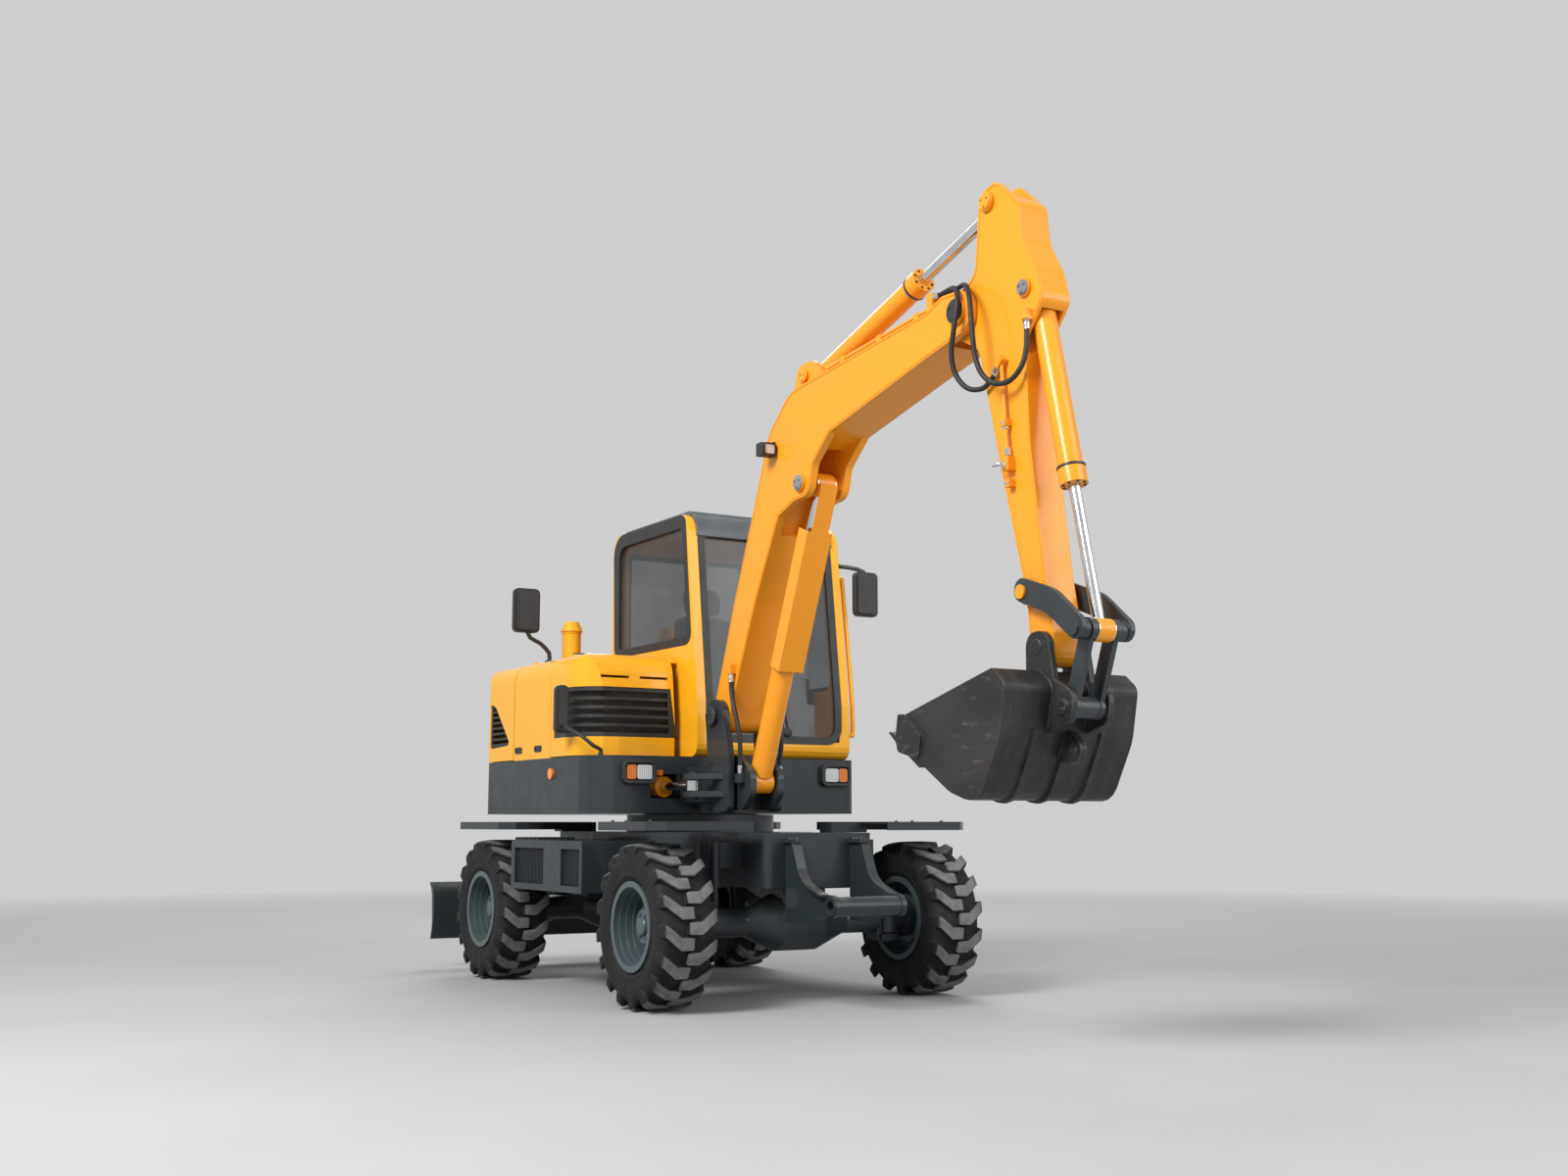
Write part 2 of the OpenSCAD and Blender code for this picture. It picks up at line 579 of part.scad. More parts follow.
module console() color(black) {
    box(-420, 120, -190, -20, belt_z + cab_wall, 1800);
    box(-420, 120, 540, 680, belt_z + cab_wall, 1800);
    for (y = [-105, 610]) post_z([90, y], 16, 1790, 1960);
    box(270, 346, 215, 305, belt_z + cab_wall, belt_z + cab_wall + 40);
    along([325, belt_z + cab_wall + 30], [225, 1880], 260) {
        rod_x(28, 0, 505);
        translate([505, 0, 0]) rotate([0, 90, 0]) rotate_extrude($fn = 48) translate([118, 0])
            circle(12, $fn = 16);
        for (a = [0, 120, 240]) rotate([a, 0, 0]) translate([498, -10, 0]) cube([12, 20, 116]);
    }
}
mirror_foot = [286, 2480];
// Middle of the skirt wall on the rounded front corner
corner_foot = [front_x - 200 + 185 * cos(45), right_y + 200 - 185 * sin(45)];
module lamps() color([0.85, 0.85, 0.8]) for (y = [-588, 628]) lamp(y, 90);
module lamp(y, w) across(rounded([[y - w / 2, 1170, 12], [y + w / 2, 1170, 12], [y + w / 2, 1248, 12],
    [y - w / 2, 1248, 12]]), front_x, front_x + 28);
module indicators() color([0.95, 0.5, 0.05]) {
    for (y = [-668, 706]) lamp(y, 58);
    box(front_x, front_x + 12, -530, -470, 1192, 1222);
    pin([-150, 1210], 32, right_y - 14, right_y);
}
// A mirror's housing: rounded, thicker in the middle, facing the tail
module mirror_head(p, w, h) {
    face = rounded([[p.y - w / 2, p.z - h / 2, 30], [p.y + w / 2, p.z - h / 2, 30],
        [p.y + w / 2, p.z + h / 2, 30], [p.y - w / 2, p.z + h / 2, 30]]);
    across(face, p.x - 18, p.x + 12);
    across(inset(face, 14), p.x + 11, p.x + 30);
}
module mirrors() color(black) {
    post_z([-560, -740], 24, hood_z, hood_z + 14);
    tube([[-560, -740, hood_z + 8], [-560, -740, hood_z + 60], [-556, -800, 2000], [-545, -870, 2030],
        [-540, -900, 2090]], 13);
    mirror_head([-540, -900, 2190], 165, 265);
    post_z(corner_foot, 13.5, belt_z, belt_z + 16);
    tube([[corner_foot.x, corner_foot.y, belt_z + 6], [corner_foot.x, corner_foot.y, belt_z + 30],
        [368, -862, 1352], [340, -912, 1400], [250, -942, 1440], [140, -945, 1480]], 11);
    mirror_head([120, -945, 1560], 80, 270);
    pin(mirror_foot, 18, cab_y1, cab_y1 + 14);
    tube([[mirror_foot.x, cab_y1 + 7, mirror_foot.y], [mirror_foot.x, cab_y1 + 40, mirror_foot.y],
        [330, 850, 2470], [400, 895, 2440], [412, 900, 2380]], 13, across = [1, 0, 0]);
    mirror_head([412, 900, 2300], 165, 270);
}
module handrails() color(paint) {
    for (p = [[398, 1450], [290, 2400]]) pin(p, 16, cab_y1, cab_y1 + 44);
    tube([[398, cab_y1 + 40, 1446], [398, cab_y1 + 40, 1640], [345, cab_y1 + 40, 2020],
        [290, cab_y1 + 40, 2404]], 14);
}

// Work equipment
module swing_post() color(dark) {
    for (z = [990, 1245]) {
        post_z(post, 110, z, z + 45);
        box(post.x, 850, boom_y - 110, boom_y + 110, z, z + 45);
    }
    post_z(post, 45, 985, 1300);
    box(830, 935, boom_y - 165, boom_y + 165, 990, 1290);
    pair(boom_y) {
        side(rounded([[770, 1245, 0], [735, 1590, 90], [915, 1590, 85], [1000, 1290, 60],
            [1000, 990, 40], [830, 990, 0], [830, 1245, 0]]), 146.5, 37);
        side(rounded([[900, 1000, 0], [1040, 1000, 60], [1130, 1080, 60], [1130, 1200, 70],
            [1000, 1285, 0], [900, 1285, 0]]), boom_cyl_d / 2 + 24, 36);
        box(1025, 1075, boom_cyl_d / 2 + 40, boom_cyl_d / 2 + 80, 1140, foot_hose_z);
    }
    pin(boom_foot, 40, boom_y - 180, boom_y + 180);
    pin(boom_cyl_foot, 32, boom_y - 105, boom_y + 105);
    for (z = [swing_z - 62, swing_z + 32]) {
        plan(rounded([[swing_eye.x - 55, swing_eye.y - 55, 50],
            [swing_eye.x + 55, swing_eye.y - 55, 50], [960, boom_y - 150, 0], [832, boom_y - 150, 0],
            [swing_eye.x - 55, swing_eye.y + 40, 40]]), z, z + 30);
    }
    post_z(swing_eye, 26, swing_z - 72, swing_z - 60);
    post_z(swing_eye, 26, swing_z + 60, swing_z + 72);
}
module swing_barrel() color(paint) translate([swing_foot.x, swing_foot.y, swing_z]) rotate([90, 0, 0])
    barrel(700, 100, 46, 76, 24, 50);
module swing_rod() color(steel) translate([swing_foot.x, swing_foot.y, swing_z]) rotate([90, 0, 0])
    rod(360, swing_eye.x - swing_foot.x, 50, 42, 52);
boom_side = rounded([[760, 1415, 70], [895, 1415, 70], [930, 1500, 0], [1200, 2075, 300],
    [1450, 2520, 0], [1700, 2800, 200], [2760, 3025, 0], [3100, 3090, 90], [3095, 3272, 90],
    [2890, 3282, 0], [2770, 3238, 0], [1560, 3140, 220], [1345, 2960, 220], [1180, 2570, 0],
    [975, 2100, 400], [745, 1510, 0]]);
// Two pipes on clamps along the top edge, from elbows to the hose block at the tip
module boom_pipes() along([1560, 3140], [2770, 3238], boom_y) for (y = [-107, -80]) {
    translate([0, y, 16]) rod_x(10, 345, 1214);
    translate([345, y, 16]) sphere(r = 10, $fn = 24);
    translate([345, y, -5]) cylinder(r = 10, h = 21, $fn = 24);
    for (x = [480, 800, 1110]) translate([x, -118, -2]) cube([36, 50, 30]);
}
module boom_plates() difference() {
    union() {
        side(boom_side, boom_y, boom_w);
        pair(boom_y) {
            side(rounded([[1430, 2500, 0], [1600, 2560, 0], [1740, 2570, 75], [1780, 2720, 60],
                [1960, 2870, 0], [1600, 2800, 0]]), 100, 40);
            pin(boom_cyl_head, 45, 118, 138);
            box(955, 1003, 118, 156, boom_hose_z, boom_hose_z + 50);
            side(rounded([[1540, 3100, 0], [1590, 3270, 60], [1740, 3270, 60], [1860, 3150, 0]]), 74, 32);
            pin(boom_tip, 62, 118, 138);
        }
        pin(arm_cyl_foot, 28, boom_y - 102, boom_y + 102);
        pin(boom_tip, 40, boom_y - 110, boom_y + 110);
        box(tip_hose_x - 45, tip_hose_x, boom_y - 118, boom_y - 55, 3225, 3322);
        boom_pipes();
    }
    pin(boom_foot, 40.5, boom_y - 200, boom_y + 200);
    pin(boom_cyl_head, 192, boom_y - 75, boom_y + 75);
    along([1490, 2370], boom_cyl_head, boom_y) translate([-20, -73, -120]) cube([260, 146, 290]);
    difference() {
        pin(arm_cyl_foot, 68, boom_y - 58, boom_y + 58);
        pin(arm_cyl_foot, 28, boom_y - 102, boom_y + 102);
    }
    difference() {
        union() {
            pin(boom_tip, 165, boom_y - 80, boom_y + 80);
            box(boom_tip.x, boom_tip.x + 200, boom_y - 80, boom_y + 80, 2900, 3400);
        }
        pin(boom_tip, 40, boom_y - 110, boom_y + 110);
    }
}
module boom() color(paint) {
    boom_plates();
    pair(boom_y) pin(boom_cyl_head, 50, 58, 84);
}
module boom_barrel() color(paint) along(boom_cyl_foot, boom_cyl_head, boom_y)
    barrel(960, boom_cyl_d, 60, 116, 32, 65);
module boom_rod() color(steel) {
    along(boom_cyl_foot, boom_cyl_head, boom_y) rod(560, norm(boom_cyl_head - boom_cyl_foot), 65, 60, 108);
}
// Folded cover in front of the rod and the barrel, bolted to the rod's eye
module rod_guard() color(paint) along(boom_cyl_foot, boom_cyl_head, boom_y) {
    top = norm(boom_cyl_head - boom_cyl_foot);
    half = boom_cyl_d / 2 + 9;
    difference() {
        union() {
            translate([top - 980, -half - 5, -half - 14]) cube([750, 2 * half + 10, 5]);
            translate([top - 240, -50, -half - 14]) cube([260, 100, 5]);
            for (y = [-half - 5, half]) translate([top - 980, y, -half - 14]) cube([750, 5, half + 24]);
            translate([top - 50, -48, -half - 10]) cube([70, 96, half - 10]);
        }
        eye_y(top, 60.3, 120);
        rod_x(40, top - 120, top);
    }
}
module boom_lamps() color(black) pair(boom_y) {
    side(rounded([[1366, 2822, 12], [1436, 2822, 12], [1436, 2892, 12], [1366, 2892, 12]]),
        boom_w / 2 + 50, 80);
    box(1386, 1416, boom_w / 2, boom_w / 2 + 14, 2842, 2902);
}
module arm_barrel() color(paint) along(arm_cyl_foot, arm_cyl_head, boom_y)
    barrel(960, arm_cyl_d, 52, 100, 28, 55);
module arm_rod() color(steel)
    along(arm_cyl_foot, arm_cyl_head, boom_y) rod(590, norm(arm_cyl_head - arm_cyl_foot), 55, 50, 92);
arm_side = rounded([[3420, 1560, 60], [3560, 1560, 60], [3565, 1700, 60], [3520, 1920, 0],
    [3440, 2500, 600], [3420, 2960, 80], [3545, 3110, 60], [3500, 3260, 60], [3425, 3390, 80],
    [3400, 3570, 60], [3240, 3720, 60], [3120, 3690, 60], [3080, 3330, 90], [2925, 3270, 85],
    [2925, 3090, 85], [3100, 2990, 60], [3245, 2423, 600], [3400, 1850, 80]]);
// Hose ends on the arm's right side, and the pipe that runs down from the first to its valve
module arm_pipe() {
    y = boom_y - arm_w / 2 - 21;
    clamps = [[3304, 2617], [3319, 2452], [3324, 2350]];
    along(loop_end, loop_end + [10, 10], y) translate([0, -18, -18]) cube([46, 40, 36]);
    box(3440, 3476, y - 18, y + 24, arm_hose_z, arm_hose_z + 44);
    along(loop_end + [22, 22], clamps[0], y) rod_x(9, 0, norm(clamps[0] - loop_end - [22, 22]));
    for (i = [0, 1]) along(clamps[i], clamps[i + 1], y) rod_x(9, 0, norm(clamps[i + 1] - clamps[i]));
    for (c = clamps) box(c.x - 17, c.x + 17, y - 15, y + 24, c.y - 16, c.y + 16);
    box(3296, 3342, y - 22, y + 24, 2405, 2452);
}
module arm() color(paint) difference() {
    union() {
        side(arm_side, boom_y, arm_w);
        pair(boom_y) {
            pin(arm_cyl_head, 45, 74, 92);
            pin(bucket_cyl_foot, 40, 74, 90);
            pin(link_arm, 52, 74, 108);
        }
        pin(bucket_cyl_foot, 25, boom_y - 80, boom_y + 80);
        pin(link_arm, 30, boom_y - 146, boom_y + 146);
        arm_pipe();
    }
    pin(boom_tip, 40.5, boom_y - 100, boom_y + 100);
    pin(bucket_pin, 32.5, boom_y - 100, boom_y + 100);
    pin(arm_cyl_head, 165, boom_y - 51, boom_y + 51);
    difference() {
        union() {
            pin(bucket_cyl_foot, 66, boom_y - 56, boom_y + 56);
            along(bucket_cyl_foot, link_rod, boom_y) translate([-30, -bucket_cyl_d / 2 - 6, -76])
                cube([300, bucket_cyl_d + 12, 136]);
        }
        pin(bucket_cyl_foot, 25, boom_y - 80, boom_y + 80);
    }
}
module bucket_barrel() color(paint)
    along(bucket_cyl_foot, link_rod, boom_y) barrel(900, bucket_cyl_d, 48, 90, 25, 50);
module bucket_rod() color(steel)
    along(bucket_cyl_foot, link_rod, boom_y) rod(500, norm(link_rod - bucket_cyl_foot), 50, 48, 88);
side_link = rounded([[-50, -50, 49], [link_l * 0.5, -12, 200], [link_l + 50, -50, 49],
    [link_l + 50, 50, 49], [link_l * 0.5, 92, 220], [-50, 50, 49]]);
module side_links() color(dark) pair(boom_y) difference() {
    union() {
        along(link_arm, link_rod, 125) {
            side(side_link, 0, 22);
            translate([0, -26, 0]) eye_y(link_l, 42, 34);
        }
        pin(link_rod, 30, 130, 146);
    }
    pin(link_arm, 30.5, 100, 160);
}
module h_link() color(dark) difference() {
    union() {
        pair(boom_y) along(link_bucket, link_rod, 63) {
            translate([0, -13, -32]) cube([norm(link_rod - link_bucket), 26, 64]);
            eye_y(0, 48, 26);
            eye_y(norm(link_rod - link_bucket), 48, 26);
        }
        pin(link_bucket, 44, boom_y - 76, boom_y + 76);
    }
    pin(link_bucket, 30.5, boom_y - 90, boom_y + 90);
}
bucket_side = rounded([[2860, 1270, 0], [3215, 1055, 200], [3400, 1000, 110], [3545, 1265, 250],
    [3588, 1482, 50], [3510, 1545, 20], [2880, 1385, 0]]);
module bucket() color([0.2, 0.19, 0.19]) {
    difference() {
        side(bucket_side, boom_y, bucket_w);
        side(inset(bucket_side, 16), boom_y, bucket_w - 32);
        side([[2850, 1290], [2870, 1284], [3480, 1500], [3480, 1700], [2800, 1500]], boom_y, bucket_w - 32);
    }
    pair(boom_y) difference() {
        side(rounded([[3425, 1525, 0], [3425, 1705, 62], [3560, 1705, 62], [3600, 1500, 0],
            [3715, 1445, 55], [3700, 1325, 55], [3560, 1290, 0]]), 96, 26);
        side(inset(bucket_side, 8), 96, 30);
    }
    difference() {
        side(rounded([[3500, 1180, 0], [3610, 1160, 35], [3660, 1225, 40], [3590, 1290, 30],
            [3530, 1310, 0]]), boom_y, 32);
        side(inset(bucket_side, 8), boom_y, 40);
        pin([3600, 1225], 20, boom_y - 30, boom_y + 30);
    }
    pin(bucket_pin, 32, boom_y - 111, boom_y + 111);
    pin(link_bucket, 30, boom_y - 120, boom_y + 120);
    for (i = [0 : teeth - 1]) bucket_tooth(boom_y + (i / (teeth - 1) - 0.5) * (bucket_w - 80));
    for (i = [-1 : 1]) difference() {
        side(inset(bucket_side, -12), boom_y + i * bucket_w / 4, 20);
        side(inset(bucket_side, 8), boom_y, bucket_w);
        side([[2700, 1270], [3000, 1110], [3660, 1330], [3660, 1700], [2700, 1700]], boom_y, bucket_w);
    }
    for (s = [-1, 1]) side(rounded([[2842, 1290, 0], [2860, 1232, 20], [3010, 1195, 30],
        [3030, 1300, 40], [2905, 1392, 30], [2862, 1392, 0]]), boom_y + s * (bucket_w / 2 + 4), 16);
}
// Adapter over the lip and a pointed tooth in it
module bucket_tooth(y) {
    side(rounded([[2838, 1288, 10], [2850, 1250, 20], [2990, 1158, 10], [3002, 1176, 0],
        [2925, 1252, 0], [2890, 1290, 15]]), y, 56);
    side(rounded([[2750, 1332, 4], [2848, 1252, 10], [2866, 1286, 10]]), y, 66);
}
tip_routes = [
    [[tip_hose_x, -304, 3302], [2870, -304, 3302], [2940, -312, 3302], [3002, -330, 3288],
        [3048, -350, 3244], [3064, -366, 3172], [3050, -373, 3080], [3028, -371, 2980],
        [3034, -356, 2886], [3084, -330, 2814], [3160, -305, 2798],
        [loop_end.x - 40, -296, loop_end.y - 40], [loop_end.x, -296, loop_end.y]],
    [[tip_hose_x, -272, 3302], [2880, -272, 3302], [2965, -286, 3304], [3045, -312, 3294],
        [3112, -342, 3256],
        [3158, -366, 3192], [3184, -380, 3105], [3200, -384, 3010], [3210, -380, 2920], [3238, -370, 2840],
        [3298, -352, 2784], [3376, -330, 2778], [3434, -310, 2830], [3455, -298, 2905], [3458, -296, 2975],
        [3458, -296, arm_hose_z]]];
module tip_hoses() color(black) for (p = tip_routes) tube(p, 12);
foot_route = [[1050, 120, foot_hose_z], [1050, 120, 1250], [1058, 126, 1330], [1054, 132, 1410],
    [1032, 137, 1490], [1004, 139, 1560], [984, 138, 1625], [979, 138, 1680], [979, 138, boom_hose_z]];
module foot_hoses() color(black) for (s = [-1, 1])
    tube([for (p = foot_route) [p.x, boom_y + s * p.y, p.z]], 13);

translate([origin_shift, 0, 0]) {
    chassis();
    swing_bearing();
    front_bracket();
    fenders();
    step_boxes();
    front_axle();
    rear_axle();
    driveline();
    knuckle_left();
    knuckle_right();
    tyre_fl();
    tyre_fr();
    tyre_rl();
    tyre_rr();
    rim_fl();
    rim_fr();
    rim_rl();
    rim_rr();
    blade();
    blade_barrels();
    blade_rods();
    upper_frame();
    counterweight();
    right_cover();
    right_panel();
    engine_hood();
    engine();
    exhaust();
    cab_shell();
    cab_roof();
    windscreen();
    side_glass();
    door();
    door_glass();
    seat();
    console();
    lamps();
    mirrors();
    handrails();
    swing_post();
    swing_barrel();
    swing_rod();
    boom();
    boom_barrel();
    boom_rod();
    arm_barrel();
    arm_rod();
    arm();
    bucket_barrel();
    bucket_rod();
    side_links();
    h_link();
    bucket();
    tip_hoses();
    foot_hoses();
    grille();
    tail_vent_plate();
    rod_guard();
    boom_lamps();
    indicators();
}
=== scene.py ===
"""The finish of a wheeled excavator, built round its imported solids.

Metres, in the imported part's frame. Points written in the machine's own frame, whose X starts at the
slew axis, are moved by SLEW_X.
"""
import json
import math

import bmesh
import bpy
from mathutils import Matrix, Vector


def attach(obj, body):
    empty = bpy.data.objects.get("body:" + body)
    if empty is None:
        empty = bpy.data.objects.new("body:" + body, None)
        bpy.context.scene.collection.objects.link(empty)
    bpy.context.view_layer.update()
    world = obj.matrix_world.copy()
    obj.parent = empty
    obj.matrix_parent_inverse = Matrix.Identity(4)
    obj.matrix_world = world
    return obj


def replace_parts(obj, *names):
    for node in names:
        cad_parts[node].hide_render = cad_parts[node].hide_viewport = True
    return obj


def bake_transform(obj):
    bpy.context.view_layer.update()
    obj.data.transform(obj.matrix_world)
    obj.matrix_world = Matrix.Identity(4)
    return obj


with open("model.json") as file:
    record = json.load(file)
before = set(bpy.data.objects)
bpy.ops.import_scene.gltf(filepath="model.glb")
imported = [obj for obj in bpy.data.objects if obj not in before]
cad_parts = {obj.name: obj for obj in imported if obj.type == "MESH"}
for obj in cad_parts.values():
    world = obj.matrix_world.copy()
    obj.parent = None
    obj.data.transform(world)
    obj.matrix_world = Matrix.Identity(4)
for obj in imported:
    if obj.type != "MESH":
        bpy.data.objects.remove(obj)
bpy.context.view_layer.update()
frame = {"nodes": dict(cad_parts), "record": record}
nodes = frame["nodes"]
scene = bpy.context.scene

# Camera
PHOTO_W = 1600
FOCAL_PX = 1715.8
SENSOR = 36.0
CAMERA_AT = (7.9022, -4.6771, 0.9281)
CAMERA_YAW = math.radians(149.259)
CAMERA_PITCH = math.radians(7.975)

# Machine
SLEW_X = -0.925
WHEEL_X, WHEEL_Y, WHEEL_R = 1.05, 0.81, 0.415
BOOM_Y, BOOM_HALF, ARM_HALF = -0.2, 0.120, 0.075
UP = (0, 0, 1)


def at(x, y, z):
    """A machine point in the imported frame."""
    return Vector((x + SLEW_X, y, z))


def put(name, data, place=(0, 0, 0), turn=(0, 0, 0)):
    """A new object in the scene."""
    made = bpy.data.objects.new(name, data)
    made.location = place
    made.rotation_euler = turn
    scene.collection.objects.link(made)
    return made


def make_camera():
    camera = bpy.data.cameras.new("camera")
    camera.sensor_width = SENSOR
    camera.lens = FOCAL_PX / PHOTO_W * SENSOR
    turn = (math.pi / 2 + CAMERA_PITCH, 0, CAMERA_YAW - math.pi / 2)
    scene.camera = put("camera", camera, CAMERA_AT, turn)


make_camera()


# Colours
# The boom's colour on this line is the machine's yellow made more orange: painted shade.
YELLOW, SHADED_YELLOW, CHARCOAL = (0.92, 0.42, 0.012), (0.88, 0.32, 0.012), (0.021, 0.028, 0.031)
DUST, DARK_DUST, GLASS_DUST = (0.42, 0.36, 0.27), (0.2, 0.18, 0.15), (0.3, 0.3, 0.29)
# Paler yellow for painted edges: partly rubbed paint, partly a painted highlight.
YELLOW_WEAR_AND_HIGHLIGHT = (0.95, 0.6, 0.2)
CAST_EDGE, BARE_STEEL, SCRATCHED = (0.16, 0.165, 0.17), (0.2, 0.19, 0.18), (0.11, 0.1, 0.09)
OLD_PAINT, BROWNED = (0.014, 0.014, 0.0135), (0.032, 0.028, 0.024)
GROOVE_RUBBER, TYRE_RUBBER = (0.006, 0.006, 0.0065), (0.011, 0.011, 0.0115)
HOSE_RUBBER = (0.012, 0.012, 0.0125)
# Grey for the lug tops: partly scuffing, partly a painted highlight.
LUG_SCUFF_AND_HIGHLIGHT, TYRE_EDGE, HOSE_EDGE = (0.17, 0.168, 0.165), (0.07, 0.069, 0.067), (0.07, 0.068, 0.065)
DULL_CHROME, BRIGHT_CHROME = (0.62, 0.63, 0.65), (0.78, 0.79, 0.8)
CORE_BROWN = (0.075, 0.06, 0.045)


# Materials
class Finish:
    """A node material round one Principled shader."""

    def __init__(self, name, **sockets):
        self.material = bpy.data.materials.new(name)
        self.material.use_nodes = True
        self.tree = self.material.node_tree
        self.shader = self.tree.nodes["Principled BSDF"]
        coordinates = self.node("ShaderNodeTexCoord")
        self.where, self.facing = coordinates.outputs["Object"], coordinates.outputs["Normal"]
        for key, value in sockets.items():
            self.set(key.replace("_", " "), value)

    def node(self, kind, sockets=None, **settings):
        made = self.tree.nodes.new(kind)
        for key, value in settings.items():
            setattr(made, key, value)
        for key, value in (sockets or {}).items():
            self.feed(made.inputs[key], value)
        return made

    def feed(self, socket, value):
        if isinstance(value, bpy.types.NodeSocket):
            self.tree.links.new(value, socket)
        elif socket.type == "RGBA" and len(value) == 3:
            socket.default_value = (*value, 1)
        else:
            socket.default_value = value

    def set(self, key, value):
        self.feed(self.shader.inputs[key], value)

    def noise(self, scale, detail=3.0, stretch=None):
        where = self.where
        if stretch:
            where = self.node("ShaderNodeMapping", {"Vector": where, "Scale": stretch}).outputs[0]
        return self.node("ShaderNodeTexNoise", {"Vector": where, "Scale": scale, "Detail": detail}).outputs[0]

    def span(self, value, low, high, to_low=0.0, to_high=1.0):
        return self.node("ShaderNodeMapRange", {"Value": value, "From Min": low, "From Max": high,
                                                "To Min": to_low, "To Max": to_high}).outputs[0]

    def mix(self, share, a, b):
        return self.node("ShaderNodeMix", {0: share, 6: a, 7: b}, data_type="RGBA").outputs[2]

    def times(self, a, b):
        return self.node("ShaderNodeMath", {0: a, 1: b}, operation="MULTIPLY").outputs[0]

    def upward(self):
        """1 where a surface faces up, 0 where it is upright or faces down."""
        z = self.node("ShaderNodeSeparateXYZ", {0: self.facing}).outputs[2]
        return self.span(z, 0.3, 1.0)

    def rounded(self, radius):
        """The normal with edges eased by a radius, and a mask of those edges."""
        eased = self.node("ShaderNodeBevel", {"Radius": radius}, samples=4).outputs[0]
        flat = self.node("ShaderNodeNewGeometry").outputs["Normal"]
        turn = self.node("ShaderNodeVectorMath", {0: eased, 1: flat}, operation="DOT_PRODUCT")
        return eased, self.span(turn.outputs["Value"], 0.985, 0.8)

    def bump(self, height, strength, distance, normal=None):
        sockets = {"Height": height, "Strength": strength, "Distance": distance}
        if normal:
            sockets["Normal"] = normal
        self.set("Normal", self.node("ShaderNodeBump", sockets).outputs[0])


def shade(colour, by):
    return tuple(c * by for c in colour)


def paint(name, colour, rough, coat, wear_and_highlight=YELLOW_WEAR_AND_HIGHLIGHT, dust=0.06, peel=0.02, paler_edge_share=0.12):
    """Gloss paint: slow drift of tone, orange peel, a little dust on top, and edges paler with rubbed paint
    and a painted highlight.
    """
    f = Finish(name, Coat_Weight=coat, Coat_Roughness=0.08, Specular_IOR_Level=0.3)
    drift = f.span(f.noise(0.9, 3), 0.35, 0.68)
    tone = f.mix(drift, shade(colour, 0.94), colour)
    settled = f.times(f.upward(), f.span(f.noise(9, 6), 0.42, 0.75, 0.0, dust))
    tone = f.mix(settled, tone, DUST)
    normal, edge = f.rounded(0.005)
    # Edges turn paler: partly rubbed paint, partly a painted highlight.
    paler_edge = f.times(edge, f.span(f.noise(26, 5), 0.5, 0.68, 0.0, paler_edge_share))
    f.set("Base Color", f.mix(paler_edge, tone, wear_and_highlight))
    f.set("Roughness", f.span(f.noise(14, 5), 0.3, 0.7, rough - 0.06, rough + 0.1))
    f.bump(f.noise(420, 1), peel, 0.0006, normal)
    return f.material


def casting(name, colour, rough=0.55, coarse=90):
    """Cast or rolled metal under a thin satin paint."""
    f = Finish(name, Coat_Weight=0.12, Coat_Roughness=0.25)
    tone = f.mix(f.span(f.noise(3.1, 5), 0.3, 0.7), shade(colour, 0.75), shade(colour, 1.15))
    normal, edge = f.rounded(0.006)
    paler_edge = f.times(edge, f.span(f.noise(18, 5), 0.42, 0.66, 0.0, 0.5))
    tone = f.mix(paler_edge, tone, CAST_EDGE)
    settled = f.times(f.upward(), f.span(f.noise(7, 6), 0.4, 0.8, 0, 0.25))
    f.set("Base Color", f.mix(settled, tone, DARK_DUST))
    f.set("Roughness", f.span(f.noise(12, 4), 0.3, 0.7, rough - 0.1, rough + 0.12))
    f.bump(f.noise(coarse, 4), 0.18, 0.001, normal)
    return f.material


def worked_steel(name):
    """Bucket plate: dark paint worn in streaks to brown and bare steel."""
    f = Finish(name)
    streak = f.span(f.noise(5, 7, (0.6, 3.0, 1.0)), 0.42, 0.72)
    tone = f.mix(streak, OLD_PAINT, BROWNED)
    normal, edge = f.rounded(0.007)
    scratch = f.span(f.noise(38, 6, (0.25, 5.0, 1.0)), 0.6, 0.74, 0.0, 0.55)
    tone = f.mix(scratch, tone, SCRATCHED)
    bare = f.times(edge, f.span(f.noise(15, 5), 0.35, 0.6, 0.0, 0.8))
    f.set("Base Color", f.mix(bare, tone, BARE_STEEL))
    f.set("Metallic", f.span(bare, 0.0, 1.0, 0.15, 0.8))
    f.set("Roughness", f.span(f.noise(11, 5), 0.3, 0.7, 0.38, 0.62))
    f.bump(f.noise(70, 6, (0.4, 2.5, 1.0)), 0.25, 0.0015, normal)
    return f.material


def tread(name):
    """Tyre rubber: dark in the grooves, grey on the lug tops with scuffs and a painted highlight; the tyre's
    own middle is its origin.
    """
    f = Finish(name, Specular_IOR_Level=0.35)
    x, _, z = f.node("ShaderNodeSeparateXYZ", {0: f.where}).outputs
    spoke = f.node("ShaderNodeCombineXYZ", {0: x, 2: z}).outputs[0]
    far = f.node("ShaderNodeVectorMath", {0: spoke}, operation="LENGTH").outputs["Value"]
    # Lug tops turn grey: partly scuffing, partly a painted highlight.
    lug_top = f.span(far, WHEEL_R - 0.016, WHEEL_R - 0.002)
    scuffed_and_lit = f.times(lug_top, f.span(f.noise(22, 6), 0.25, 0.6, 0.55, 1.0))
    normal, edge = f.rounded(0.006)
    tone = f.mix(f.span(f.noise(7, 6), 0.4, 0.7), GROOVE_RUBBER, TYRE_RUBBER)
    tone = f.mix(scuffed_and_lit, tone, LUG_SCUFF_AND_HIGHLIGHT)
    f.set("Base Color", f.mix(f.times(edge, 0.35), tone, TYRE_EDGE))
    f.set("Roughness", f.span(f.noise(20, 4), 0.3, 0.7, 0.6, 0.85))
    f.bump(f.noise(150, 4), 0.2, 0.001, normal)
    return f.material


